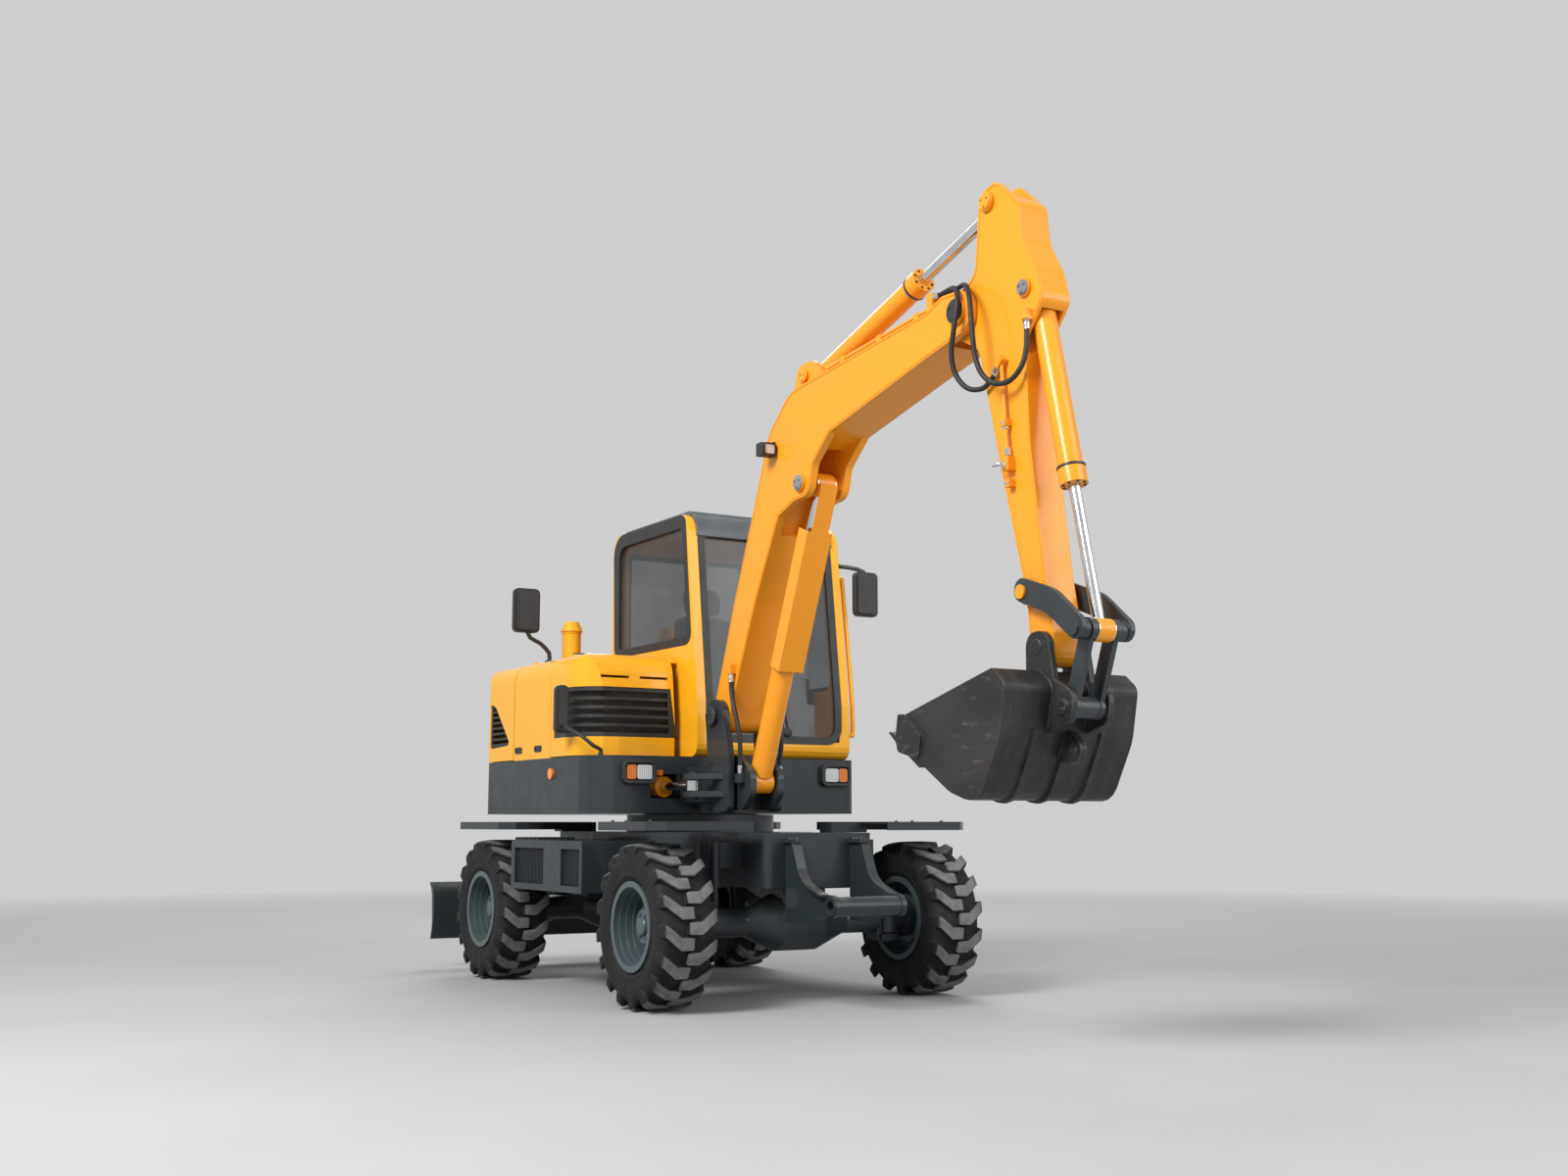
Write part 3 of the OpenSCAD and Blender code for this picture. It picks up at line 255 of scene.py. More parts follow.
def rubber(name, colour, rough, grain):
    """Smooth dark rubber, paler with dust in patches and on its edges."""
    f = Finish(name, Specular_IOR_Level=0.4)
    dusty = f.span(f.noise(6, 6), 0.42, 0.7, 0.0, 0.4)
    normal, edge = f.rounded(0.006)
    tone = f.mix(dusty, colour, shade(colour, 2.6))
    f.set("Base Color", f.mix(f.times(edge, 0.5), tone, HOSE_EDGE))
    f.set("Roughness", f.span(f.noise(20, 4), 0.3, 0.7, rough - 0.08, rough + 0.12))
    f.bump(f.noise(grain, 4), 0.2, 0.001, normal)
    return f.material


def chrome(name):
    """Ground and plated rod, with hair lines round it."""
    f = Finish(name, Metallic=1.0)
    f.set("Base Color", f.mix(f.span(f.noise(8, 4), 0.35, 0.7), DULL_CHROME, BRIGHT_CHROME))
    f.set("Roughness", f.span(f.noise(60, 4, (8, 8, 1)), 0.3, 0.7, 0.1, 0.2))
    f.bump(f.noise(300, 2, (6, 1, 6)), 0.04, 0.0004)
    return f.material


def plastic(name, colour, rough=0.5, grain=320):
    """Moulded plastic with a fine spark-eroded grain."""
    f = Finish(name)
    f.set("Base Color", f.mix(f.span(f.noise(5, 4), 0.3, 0.7), shade(colour, 0.8), shade(colour, 1.15)))
    f.set("Roughness", f.span(f.noise(16, 4), 0.3, 0.7, rough - 0.06, rough + 0.08))
    normal, _ = f.rounded(0.004)
    f.bump(f.noise(grain, 2), 0.12, 0.0006, normal)
    return f.material


def glass(name, tint, alpha):
    """Tinted pane with a faint film of dust."""
    f = Finish(name, Coat_Weight=0.2, Coat_Roughness=0.02, Specular_IOR_Level=0.4)
    film = f.span(f.noise(4, 6), 0.45, 0.75, 0.0, 0.12)
    f.set("Base Color", f.mix(film, tint, GLASS_DUST))
    f.set("Alpha", f.span(f.noise(3, 5), 0.4, 0.8, alpha, alpha + 0.08))
    f.set("Roughness", f.span(f.noise(9, 5), 0.4, 0.7, 0.02, 0.07))
    return f.material


def lens(name, colour, flute_scale=25.4777):
    """Moulded lamp lens with upright flutes."""
    f = Finish(name, Coat_Weight=1.0, Coat_Roughness=0.03, Roughness=0.12)
    wave = f.node("ShaderNodeTexWave", {"Vector": f.where, "Scale": flute_scale, "Distortion": 0.0},
                  bands_direction="Y").outputs[0]
    # Flute troughs are darker and crests full colour: painted shade in the flutes.
    f.set("Base Color", f.mix(wave, shade(colour, 0.62), colour))
    f.bump(wave, 0.5, 0.003)
    return f.material


def cloth(name, colour):
    """Woven seat cloth: two crossing yarns and a soft sheen."""
    f = Finish(name, Sheen_Weight=0.4, Sheen_Roughness=0.5)
    yarns = [f.node("ShaderNodeTexWave", {"Vector": f.where, "Scale": 90.0, "Distortion": 0.6},
                    bands_direction=d).outputs[0] for d in ("Y", "Z")]
    weave = f.times(yarns[0], yarns[1])
    # Gaps between the yarns are painted darker and the crossings paler: painted shade and highlight in the
    # weave.
    f.set("Base Color", f.mix(weave, shade(colour, 0.6), shade(colour, 1.5)))
    f.set("Roughness", f.span(f.noise(30, 4), 0.3, 0.7, 0.75, 0.95))
    f.bump(weave, 0.5, 0.0015)
    return f.material


FINISHES = {
    "hood_paint": paint("hood_paint", YELLOW, rough=0.3, coat=0.3),
    "cab_paint": paint("cab_paint", YELLOW, rough=0.3, coat=0.3),
    # The boom's paint is the machine's yellow made more orange: painted shade.
    "boom_paint": paint("boom_paint", SHADED_YELLOW, rough=0.32, coat=0.25),
    "dark_frame": paint("dark_frame", CHARCOAL, rough=0.42, coat=0.25, wear_and_highlight=(0.12, 0.13, 0.14), dust=0.16),
    "counterweight": casting("counterweight", CHARCOAL, rough=0.48),
    "links": casting("links", CHARCOAL, rough=0.42, coarse=60),
    "engine": casting("engine", (0.2, 0.21, 0.22)),
    "bucket": worked_steel("bucket"),
    "tyre": tread("tyre"),
    "hose": rubber("hose", HOSE_RUBBER, rough=0.5, grain=500),
    "rim": paint("rim", (0.062, 0.085, 0.092), rough=0.34, coat=0.35, wear_and_highlight=(0.3, 0.33, 0.34)),
    "rod": chrome("rod"),
    "roof": plastic("roof", (0.09, 0.1, 0.108), rough=0.42),
    "black_trim": plastic("black_trim", (0.02, 0.021, 0.022)),
    "seat": cloth("seat", (0.03, 0.031, 0.033)),
    "glass": glass("glass", (0.045, 0.052, 0.055), alpha=0.42),
    "lamp": lens("lamp", (0.72, 0.74, 0.75)),
    "amber_lens": lens("amber_lens", (0.85, 0.22, 0.012)),
}


def finish_frame():
    """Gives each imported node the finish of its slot."""
    for part in frame["record"]["subparts"]:
        obj = nodes[part["node"]]
        obj.data.materials.clear()
        obj.data.materials.append(FINISHES[part["material_slot"]])


finish_frame()


# Shapes
SHARP_ANGLE = math.radians(38)


def spline(points, steps):
    """Points of a smooth curve through the given ones."""
    p = [Vector(point) for point in points]
    curve = []
    for i in range(len(p) - 1):
        a, b, c, d = p[max(i - 1, 0)], p[i], p[i + 1], p[min(i + 2, len(p) - 1)]
        for k in range(steps):
            t = k / steps
            curve.append(0.5 * (2 * b + (c - a) * t + (2 * a - 5 * b + 4 * c - d) * t ** 2
                                + (3 * b - a - 3 * c + d) * t ** 3))
    return curve + [p[-1]]


def angles(count):
    """Equal steps of a full turn."""
    return [2 * math.pi * i / count for i in range(count)]


def rounded(corners, steps=6):
    """A closed outline in a plane from corners of (u, v, radius)."""
    outline = []
    for i, (u, v, radius) in enumerate(corners):
        here = Vector((u, v))
        back = (Vector(corners[i - 1][:2]) - here).normalized()
        ahead = (Vector(corners[(i + 1) % len(corners)][:2]) - here).normalized()
        half = back.angle(ahead) / 2
        middle = here + (back + ahead).normalized() * radius / math.sin(half)
        start = here + back * radius / math.tan(half) - middle
        end = here + ahead * radius / math.tan(half) - middle
        turn = start.angle_signed(end)
        for k in range(steps + 1):
            outline.append(middle + Matrix.Rotation(-turn * k / steps, 2) @ start)
    return outline


def rectangle(middle, width, height, radius):
    """The outline of a rounded rectangle in a plane."""
    (u, v), w, h = middle, width / 2, height / 2
    corners = ((u - w, v - h), (u + w, v - h), (u + w, v + h), (u - w, v + h))
    return rounded([(*corner, radius) for corner in corners])


def offset(outline, distance):
    """The counter-clockwise outline moved inwards."""
    moved = []
    for i, here in enumerate(outline):
        a = (here - outline[i - 1]).normalized()
        b = (outline[(i + 1) % len(outline)] - here).normalized()
        n0, n1 = Vector((-a.y, a.x)), Vector((-b.y, b.x))
        moved.append(here + (n0 + n1) * distance / (1 + n0.dot(n1)))
    return moved


def on_side(y, out):
    """Puts (u, v, depth) on the plane at y; depth goes left (1) or right (-1)."""
    return lambda u, v, depth: at(u, y + out * depth, v)


def on_end(x, out):
    """Puts (u, v, depth) on the plane at x; depth goes forwards (1) or backwards (-1)."""
    return lambda u, v, depth: at(x + out * depth, u, v)


class Shape:
    """Points and faces that grow piece by piece and end as one object."""

    def __init__(self):
        self.points, self.faces = [], []

    def ring_strip(self, rings, close_last=False):
        """Faces between rings of equally many points."""
        first, count = len(self.points), len(rings[0])
        for ring in rings:
            self.points.extend(ring)
        spans = len(rings) if close_last else len(rings) - 1
        for r in range(spans):
            a, b = first + r * count, first + (r + 1) % len(rings) * count
            for i in range(count):
                j = (i + 1) % count
                self.faces.append((a + i, a + j, b + j, b + i))

    def tube(self, rings):
        """Faces between rings, with the first and the last ring filled."""
        first, count = len(self.points), len(rings[0])
        self.ring_strip(rings)
        last = len(self.points) - count
        self.faces.append(tuple(reversed(range(first, first + count))))
        self.faces.append(tuple(range(last, last + count)))

    def lathe(self, profile, centre, axis, sides=32):
        """A profile of (radius, height) turned round an axis, with its ends closed."""
        axis = Vector(axis).normalized()
        u = axis.orthogonal().normalized()
        v = axis.cross(u)
        self.tube([[Vector(centre) + axis * height + radius * (u * math.cos(a) + v * math.sin(a))
                    for a in angles(sides)] for radius, height in profile])

    def bolt(self, centre, axis, size):
        """A hexagon head on a washer."""
        washer_r, washer_top = size * 1.15, size * 0.2
        head_r, head_top = size * 0.88, size * 0.75
        crown_r, crown_top = size * 0.74, size * 0.88
        self.lathe([(washer_r, 0), (washer_r, washer_top)], centre, axis, 16)
        self.lathe([(head_r, washer_top), (head_r, head_top), (crown_r, crown_top)], centre, axis, 6)

    def sweep(self, path, radius, sides):
        """A round bar along a path; radius is a number or a function of the share of the path."""
        last = len(path) - 1
        side = None
        rings = []
        for i, here in enumerate(path):
            along = (path[min(i + 1, last)] - path[max(i - 1, 0)]).normalized()
            side = (along.orthogonal() if side is None else side - along * side.dot(along)).normalized()
            up = along.cross(side)
            r = radius(i / last) if callable(radius) else radius
            rings.append([here + r * (side * math.cos(a) + up * math.sin(a)) for a in angles(sides)])
        self.tube(rings)

    def block(self, low, high):
        """An upright box between two machine corners."""
        (x0, y0, z0), (x1, y1, z1) = low, high
        floor = [at(x0, y0, z0), at(x1, y0, z0), at(x1, y1, z0), at(x0, y1, z0)]
        self.tube([floor, [p + Vector((0, 0, z1 - z0)) for p in floor]])

    def band(self, outer, inner, place, low, high):
        """A flat closed strip between two outlines, from depth low to depth high."""
        section = ((outer, low), (outer, high), (inner, high), (inner, low))
        self.ring_strip([[place(p.x, p.y, depth) for p in outline] for outline, depth in section],
                        close_last=True)

    def plate(self, outline, place, low, high):
        """A flat closed plate from depth low to depth high."""
        self.tube([[place(p.x, p.y, depth) for p in outline] for depth in (low, high)])

    def make(self, name, slot, body=None, finish=None, bevel=0.0, smooth=True, place=(0, 0, 0)):
        """The object, with its faces turned outwards, its finish and the body that it rides on."""
        mesh = bpy.data.meshes.new(name)
        mesh.from_pydata([tuple(p) for p in self.points], [], self.faces)
        work = bmesh.new()
        work.from_mesh(mesh)
        bmesh.ops.recalc_face_normals(work, faces=work.faces)
        work.to_mesh(mesh)
        work.free()
        mesh.materials.append(finish or FINISHES[slot])
        made = put(name, mesh, place)
        if smooth:
            mesh.shade_smooth()
            mesh.set_sharp_from_angle(angle=SHARP_ANGLE)
        if bevel:
            eased = made.modifiers.new("eased", "BEVEL")
            eased.width = bevel
            eased.segments = 2
            eased.limit_method = "ANGLE"
        if body:
            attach(made, body)
        return made


# Hoses
TIP_ROUTES = [
    [(2.815, -0.304, 3.302), (2.870, -0.304, 3.302), (2.940, -0.312, 3.302), (3.002, -0.330, 3.288),
     (3.048, -0.350, 3.244), (3.064, -0.366, 3.172), (3.050, -0.373, 3.080), (3.028, -0.371, 2.980),
     (3.034, -0.356, 2.886), (3.084, -0.330, 2.814), (3.160, -0.305, 2.798), (3.222, -0.296, 2.832),
     (3.262, -0.296, 2.872)],
    [(2.815, -0.272, 3.302), (2.880, -0.272, 3.302), (2.965, -0.286, 3.304), (3.045, -0.312, 3.294),
     (3.112, -0.342, 3.256), (3.158, -0.366, 3.192), (3.184, -0.380, 3.105), (3.200, -0.384, 3.010),
     (3.210, -0.380, 2.920), (3.238, -0.370, 2.840), (3.298, -0.352, 2.784), (3.376, -0.330, 2.778),
     (3.434, -0.310, 2.830), (3.455, -0.298, 2.905), (3.458, -0.296, 2.975), (3.458, -0.296, 3.030)],
]
FOOT_ROUTE = [(1.050, 0.120, 1.190), (1.050, 0.120, 1.250), (1.058, 0.126, 1.330), (1.054, 0.132, 1.410),
              (1.032, 0.137, 1.490), (1.004, 0.139, 1.560), (0.984, 0.138, 1.625), (0.979, 0.138, 1.680),
              (0.979, 0.138, 1.720)]
TIP_HOSE_D, FOOT_HOSE_D = 0.024, 0.026
TIP_BEND = ((3.0, -0.35, 3.28), (3.2, -0.3, 2.82))
FOOT_BEND = ((1.05, BOOM_Y, 1.2), (0.98, BOOM_Y, 1.7))
HOSE_STEPS, HOSE_SIDES = 14, 14
# The wound guard: its pitch as a share of the hose's diameter, its depth as a share of the radius
GUARD_PITCH, GUARD_DEPTH = 0.55, 0.03


def foot_route(side):
    """A foot hose's route on one side of the boom."""
    return [(x, BOOM_Y + side * y, z) for x, y, z in FOOT_ROUTE]


# Name, route, diameter, body at either end, the stretch that bends between them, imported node
HOSES = [
    ("tip_hose_1", TIP_ROUTES[0], TIP_HOSE_D, "boom", "arm", TIP_BEND, "tip_hoses"),
    ("tip_hose_2", TIP_ROUTES[1], TIP_HOSE_D, "boom", "arm", TIP_BEND, "tip_hoses"),
    ("foot_hose_right", foot_route(-1), FOOT_HOSE_D, "swing_post", "boom", FOOT_BEND, "foot_hoses"),
    ("foot_hose_left", foot_route(1), FOOT_HOSE_D, "swing_post", "boom", FOOT_BEND, "foot_hoses"),
]


def make_hose(name, route, diameter, start_body, end_body, bend, node):
    """A pressure hose under a wound guard, swept along its route."""
    path = spline([at(*p) for p in route], HOSE_STEPS)
    length = sum((b - a).length for a, b in zip(path, path[1:]))
    turns = length / (GUARD_PITCH * diameter)
    start, end = bend

    def guarded(share):
        return diameter / 2 * (1 - GUARD_DEPTH + GUARD_DEPTH * math.cos(2 * math.pi * share * turns))

    shape = Shape()
    shape.sweep(path, guarded, HOSE_SIDES)
    made = shape.make(name, "hose")
    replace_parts(made, node)
    at(*start)
    at(*end)
    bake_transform(made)


# A ferrule: radii of its nut, ridges and grooves over the hose's, the nut's length, crimps and their pitch
NUT_R, RIDGE_R, GROOVE_R = 1.3, 1.22, 1.12
NUT_LENGTH, CRIMPS, CRIMP_PITCH = 0.014, 8, 0.004


def make_ferrules():
    """Crimped sleeve and hexagon nut on both ends of each hose."""
    groups = {}
    for _, route, diameter, first_body, last_body, _, _ in HOSES:
        path = [at(*p) for p in route]
        r = diameter / 2
        for body, end, inner in ((first_body, path[0], path[1]), (last_body, path[-1], path[-2])):
            inwards = (inner - end).normalized()
            shape = groups.setdefault(body, Shape())
            shape.lathe([(r * NUT_R, 0), (r * NUT_R, NUT_LENGTH)], end, inwards, 6)
            sleeve = [(r * (RIDGE_R if k % 2 else GROOVE_R), NUT_LENGTH + CRIMP_PITCH * k)
                      for k in range(CRIMPS)]
            shape.lathe(sleeve, end, inwards, 24)
    for body, shape in groups.items():
        shape.make("ferrules_" + body, "rod", body)


def make_hoses():
    for facts in HOSES:
        make_hose(*facts)
    make_ferrules()


# Tyres
# Lugs on each side, turn of a lug from its middle to its shoulder, and a root's length over its top's
LUGS, LUG_TURN, LUG_ROOT = 17, math.radians(9), 1.25
CARCASS_SIDES = LUGS * 6
# Where the first lug of the left and of the right row stands, as a share of the pitch
LUG_SHARE = {1: 0.05, -1: 0.55}
# Half of the carcass, from the bead to the crown: (radius, half width)
CARCASS = [(0.213, 0.128), (0.230, 0.129), (0.238, 0.134), (0.246, 0.142), (0.256, 0.148),
           (0.262, 0.148), (0.267, 0.1455), (0.290, 0.1505), (0.312, 0.1525), (0.318, 0.1535),
           (0.324, 0.1525), (0.345, 0.148), (0.362, 0.1385), (0.374, 0.125), (0.382, 0.102),
           (0.387, 0.060), (0.387, 0.0)]
# Stations along a lug: (top radius, top width, root radius, root width, share of the turn, half its
# length in degrees)
LUG_STATIONS = [(0.412, -0.013, 0.380, -0.018, 0.0, 3.7), (0.415, -0.004, 0.380, -0.006, 0.0, 4.1),
                (0.415, 0.055, 0.380, 0.055, 0.0, 4.2), (0.4145, 0.083, 0.380, 0.083, 0.34, 4.25),
                (0.413, 0.112, 0.374, 0.106, 0.69, 4.25), (0.410, 0.136, 0.366, 0.124, 0.98, 4.1),
                (0.402, 0.1445, 0.360, 0.132, 1.0, 4.0), (0.370, 0.151, 0.350, 0.138, 1.0, 3.8),
                (0.338, 0.1528, 0.336, 0.146, 1.0, 3.4)]


def round_axle(radius, y, angle):
    return Vector((radius * math.cos(angle), y, radius * math.sin(angle)))


def lug_rings(side, first):
    """Four-sided sections along one lug, from the tyre's middle to its side."""
    rings = []
    for top_r, top_y, root_r, root_y, share, half in LUG_STATIONS:
        middle, top = first + share * LUG_TURN, math.radians(half)
        root = top * LUG_ROOT
        section = ((root_r, root_y, -root), (top_r, top_y, -top), (top_r, top_y, top), (root_r, root_y, root))
        rings.append([round_axle(r, side * y, middle + turn) for r, y, turn in section])
    return rings


def tyre_shape():
    """A tyre round the Y axis: carcass with ribs, and two rows of bent lugs half a pitch apart."""
    shape = Shape()
    across = CARCASS + [(r, -y) for r, y in CARCASS[-2::-1]]
    turns = angles(CARCASS_SIDES)
    shape.ring_strip([[round_axle(r, y, a) for a in turns] for r, y in across], close_last=True)
    for side, share in LUG_SHARE.items():
        for k in range(LUGS):
            shape.tube(lug_rings(side, (k + share) * 2 * math.pi / LUGS))
    return shape


# Wheels
# Name, front or rear, left or right
WHEELS = (("fl", 1, 1), ("fr", 1, -1), ("rl", -1, 1), ("rr", -1, -1))
HUB_FACE = 0.069
HUB_CAP = [(0.050, 0), (0.050, 0.010), (0.042, 0.018), (0.012, 0.021)]
# Rings of bolts on a rim: (count, radius of the ring, size, face from the wheel's middle)
RIM_BOLTS = ((10, 0.158, 0.013, -0.014), (6, 0.066, 0.008, HUB_FACE))


def make_wheels():
    """Tyres, and wheel nuts with a hub cap on each rim."""
    tyre = tyre_shape()
    for name, x, side in WHEELS:
        hub = at(x * WHEEL_X, side * WHEEL_Y, WHEEL_R)
        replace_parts(tyre.make("tread_" + name, "tyre", "wheel_" + name, place=hub), "tyre_" + name)
        outwards = Vector((0, side, 0))
        nuts = Shape()
        for count, ring_r, size, face in RIM_BOLTS:
            for a in angles(count):
                nuts.bolt(hub + round_axle(ring_r, side * face, a), outwards, size)
        nuts.lathe(HUB_CAP, hub + outwards * HUB_FACE, outwards)
        nuts.make("nuts_" + name, "rim", "wheel_" + name)


# Seat
# A pad: how far its sides pull in, depth of its quilting, and cuts along each side
PAD_PULL, QUILT, PAD_CUTS = 0.14, 0.14, 14
SEAT_Y = 0.26
BELLOWS_X, BELLOWS_Y, BELLOWS_Z, BELLOWS_H = (-0.40, 0.06), (0.08, 0.44), 1.345, 0.215
FOLDS, FOLD_OUT = 7, 0.012
LEVER_X, LEVER_Y, CONSOLE_TOP = 0.09, (-0.105, 0.61), 1.8
# Rubber gaiter and grip of a lever: (radius, height above the console)
GAITER = [(0.05, 0), (0.05, 0.012), (0.036, 0.03), (0.042, 0.036), (0.028, 0.05), (0.034, 0.056),
          (0.019, 0.072)]
GRIP = [(0.018, 0.13), (0.026, 0.15), (0.028, 0.19), (0.022, 0.225), (0.008, 0.232)]


def cushion(name, centre, size, lean, channels, body):
    """A padded block: rounded like a pillow, crowned on its face and quilted in channels across it."""
    work = bmesh.new()
    bmesh.ops.create_cube(work, size=2.0)
    bmesh.ops.subdivide_edges(work, edges=work.edges, cuts=PAD_CUTS, use_grid_fill=True)
    turn = Matrix.Rotation(lean, 3, "Y")
    for vert in work.verts:
        p = vert.co
        pull = [1 - PAD_PULL * (p[(i + 1) % 3] ** 2 + p[(i + 2) % 3] ** 2) for i in range(3)]
        local = Vector([p[i] * pull[i] * size[i] / 2 for i in range(3)])
        if p.z > 0.5:
            local.z *= 1 - QUILT + QUILT * abs(math.sin(math.pi * channels * (p.x + 1) / 2)) ** 0.5
        vert.co = at(*centre) + turn @ local
    mesh = bpy.data.meshes.new(name)
    work.to_mesh(mesh)
    work.free()
    mesh.materials.append(FINISHES["seat"])
    mesh.shade_smooth()
    made = put(name, mesh)
    eased = made.modifiers.new("eased", "SUBSURF")
    eased.levels = eased.render_levels = 1
    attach(made, body)
    return made


def make_seat():
    """Cushion, back and headrest on a bellows base between two consoles with levers."""
    base = Shape()
    for k in range(FOLDS):
        low, out = BELLOWS_Z + BELLOWS_H * k / FOLDS, FOLD_OUT if k % 2 else 0.0
        base.block((BELLOWS_X[0] - out, BELLOWS_Y[0] - out, low),
                   (BELLOWS_X[1] + out, BELLOWS_Y[1] + out, low + BELLOWS_H / FOLDS))
    base.make("seat_base", "black_trim", "upper", bevel=0.006)
    seat = cushion("seat_cushion", (-0.155, SEAT_Y, 1.625), (0.53, 0.48, 0.13), 0, 4, "upper")
    cushion("seat_back", (-0.42, SEAT_Y, 1.955), (0.55, 0.46, 0.12), math.radians(-102), 5, "upper")
    cushion("headrest", (-0.495, SEAT_Y, 2.31), (0.18, 0.26, 0.08), math.radians(-100), 1, "upper")
    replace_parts(seat, "seat")
    levers = Shape()
    for y in LEVER_Y:
        for profile in (GAITER, GRIP):
            levers.lathe(profile, at(LEVER_X, y, CONSOLE_TOP), UP, 20)
    levers.make("lever_grips", "black_trim", "upper")


# Cab trim
# Sides and rear of the cab, and the sill, knee and brow of its front as (X, Z)
CAB_RIGHT, CAB_LEFT, CAB_REAR = -0.25, 0.77, -0.715
SILL, KNEE, BROW = (0.43, 1.30), (0.425, 1.62), (0.285, 2.725)
# Panes as corners of (u, v, radius)
RIGHT_PANE = [(-0.645, 1.965, 0.06), (0.335, 1.965, 0.06), (0.245, 2.66, 0.07), (-0.655, 2.66, 0.11)]
RIGHT_FRAME = [(-0.68, 1.945, 0.07), (0.352, 1.945, 0.07), (0.262, 2.712, 0.06), (-0.708, 2.712, 0.13)]
DOOR_PANE = [(-0.27, 1.72, 0.04), (0.295, 1.72, 0.06), (0.185, 2.59, 0.06), (-0.27, 2.59, 0.06)]
LEFT_PANE = [(-0.65, 1.985, 0.04), (-0.40, 1.985, 0.04), (-0.40, 2.62, 0.04), (-0.65, 2.62, 0.06)]
REAR_PANE = [(-0.16, 1.985, 0.04), (0.68, 1.985, 0.04), (0.68, 2.61, 0.04), (-0.16, 2.61, 0.04)]
WINDSCREEN = [(-0.18, 1.40, 0.09), (0.70, 1.40, 0.09), (0.70, 2.61, 0.05), (-0.18, 2.61, 0.05)]
# A gasket's depth in the wall, how proud it stands, and its lap over the wall and over the pane
GASKET_DEPTH, GASKET_PROUD, WALL_LAP, PANE_LAP = 0.018, 0.004, 0.014, 0.028
RIGHT_LAP, SCREEN_LAP = 0.026, 0.03


def front_x(z):
    """The cab's front, which leans back above the knee."""
    (x0, z0), (x1, z1) = (SILL, KNEE) if z < KNEE[1] else (KNEE, BROW)
    return x0 + (x1 - x0) * (z - z0) / (z1 - z0)


def on_windscreen(u, v, depth):
    return at(front_x(v) + depth, u, v)


def dense(outline, step=0.07):
    """The outline with its long sides divided."""
    points = []
    for a, b in zip(outline, outline[1:] + outline[:1]):
        count = max(1, math.ceil((b - a).length / step))
        points += [a.lerp(b, k / count) for k in range(count)]
    return points


def gasket(name, corners, place, body, lap=PANE_LAP):
    """A black seal round a pane, divided so that it follows a bent wall."""
    outline = dense(rounded(corners))
    shape = Shape()
    shape.band(offset(outline, -WALL_LAP), offset(outline, lap), place, -GASKET_DEPTH, GASKET_PROUD)
    shape.make(name, "black_trim", body)


def make_right_gasket():
    """The right pane's seal, wide enough to be that window's dark frame."""
    shape = Shape()
    shape.band(rounded(RIGHT_FRAME), offset(rounded(RIGHT_PANE), RIGHT_LAP), on_side(CAB_RIGHT, -1),
               -GASKET_DEPTH, GASKET_PROUD)
    shape.make("right_gasket", "black_trim", "upper")


def make_gaskets():
    gasket("left_gasket", LEFT_PANE, on_side(CAB_LEFT, 1), "upper")
    gasket("door_gasket", DOOR_PANE, on_side(CAB_LEFT, 1), "door")
    gasket("rear_gasket", REAR_PANE, on_end(CAB_REAR, -1), "upper")
    gasket("windscreen_gasket", WINDSCREEN, on_windscreen, "upper", SCREEN_LAP)


# Visor: the roof's round edge, a place on the roof behind it, and the moulding's reach and thickness
BROW_R, BROW_STEPS, ROOF_X = 0.13, 10, -0.3
VISOR_DOWN, VISOR_BACK, VISOR_INSET = 0.03, 0.08, 0.05
VISOR_PROUD, VISOR_SUNK = 0.012, 0.002


def make_visor():
    """Dark moulding over the front edge of the roof."""
    knee, brow = Vector(KNEE), Vector(BROW)
    corners = [(*KNEE, 0.01), (*BROW, BROW_R), (ROOF_X, BROW[1], 0.01)]
    arc = rounded(corners, BROW_STEPS)[BROW_STEPS + 1:2 * BROW_STEPS + 2]
    route = [arc[0] + (knee - brow).normalized() * VISOR_DOWN] + arc + [arc[-1] - Vector((VISOR_BACK, 0))]
    outer, inner = [], []
    for i, p in enumerate(route):
        along = (route[min(i + 1, len(route) - 1)] - route[max(i - 1, 0)]).normalized()
        out = Vector((along.y, -along.x))
        outer.append(p + out * VISOR_PROUD)
        inner.append(p - out * VISOR_SUNK)
    loop = outer + inner[::-1]
    shape = Shape()
    shape.tube([[at(p.x, y, p.y) for p in loop] for y in (CAB_RIGHT + VISOR_INSET, CAB_LEFT - VISOR_INSET)])
    shape.make("visor", "roof", "upper", bevel=0.004)


# Wiper's arm and blade: heights of the points, Y at the lowest, lean to the right, distance from the pane
WIPER_ARM = ((1.45, 1.6, 1.8, 2.0, 2.2), 0.34, 0.16 / 0.75, 0.012)
WIPER_BLADE = ((1.85, 2.05, 2.25, 2.45), 0.225, 0.02, 0.008)
WIPER_KNOB, WIPER_KNOB_BACK = [(0.026, 0), (0.026, 0.014), (0.014, 0.022)], 0.014
WIPER_ARM_R, WIPER_TIP_R, WIPER_BLADE_R = 0.009, 0.004, 0.006


def make_wiper():
    def rising(heights, y, lean, off):
        """Points up the cab's front."""
        return [at(front_x(z) + off, y - lean * (z - heights[0]), z) for z in heights]

    wiper = Shape()
    arm, blade = rising(*WIPER_ARM), rising(*WIPER_BLADE)
    wiper.lathe(WIPER_KNOB, arm[0] - Vector((WIPER_KNOB_BACK, 0, 0)), (1, 0, 0), 20)
    wiper.sweep(spline(arm, 4), lambda share: WIPER_ARM_R + (WIPER_TIP_R - WIPER_ARM_R) * share, 8)
    wiper.sweep(spline(blade, 4), WIPER_BLADE_R, 6)
    wiper.make("wiper", "black_trim", "upper")


MONITOR_AT, MONITOR_W, MONITOR_H, MONITOR_HALF, MONITOR_R = (0.20, -0.13, 1.96), 0.14, 0.20, 0.02, 0.015
MONITOR_STALK, STALK_R = [(0.2, -0.13, 1.87), (0.24, -0.15, 1.7), (0.26, -0.17, 1.5)], 0.014


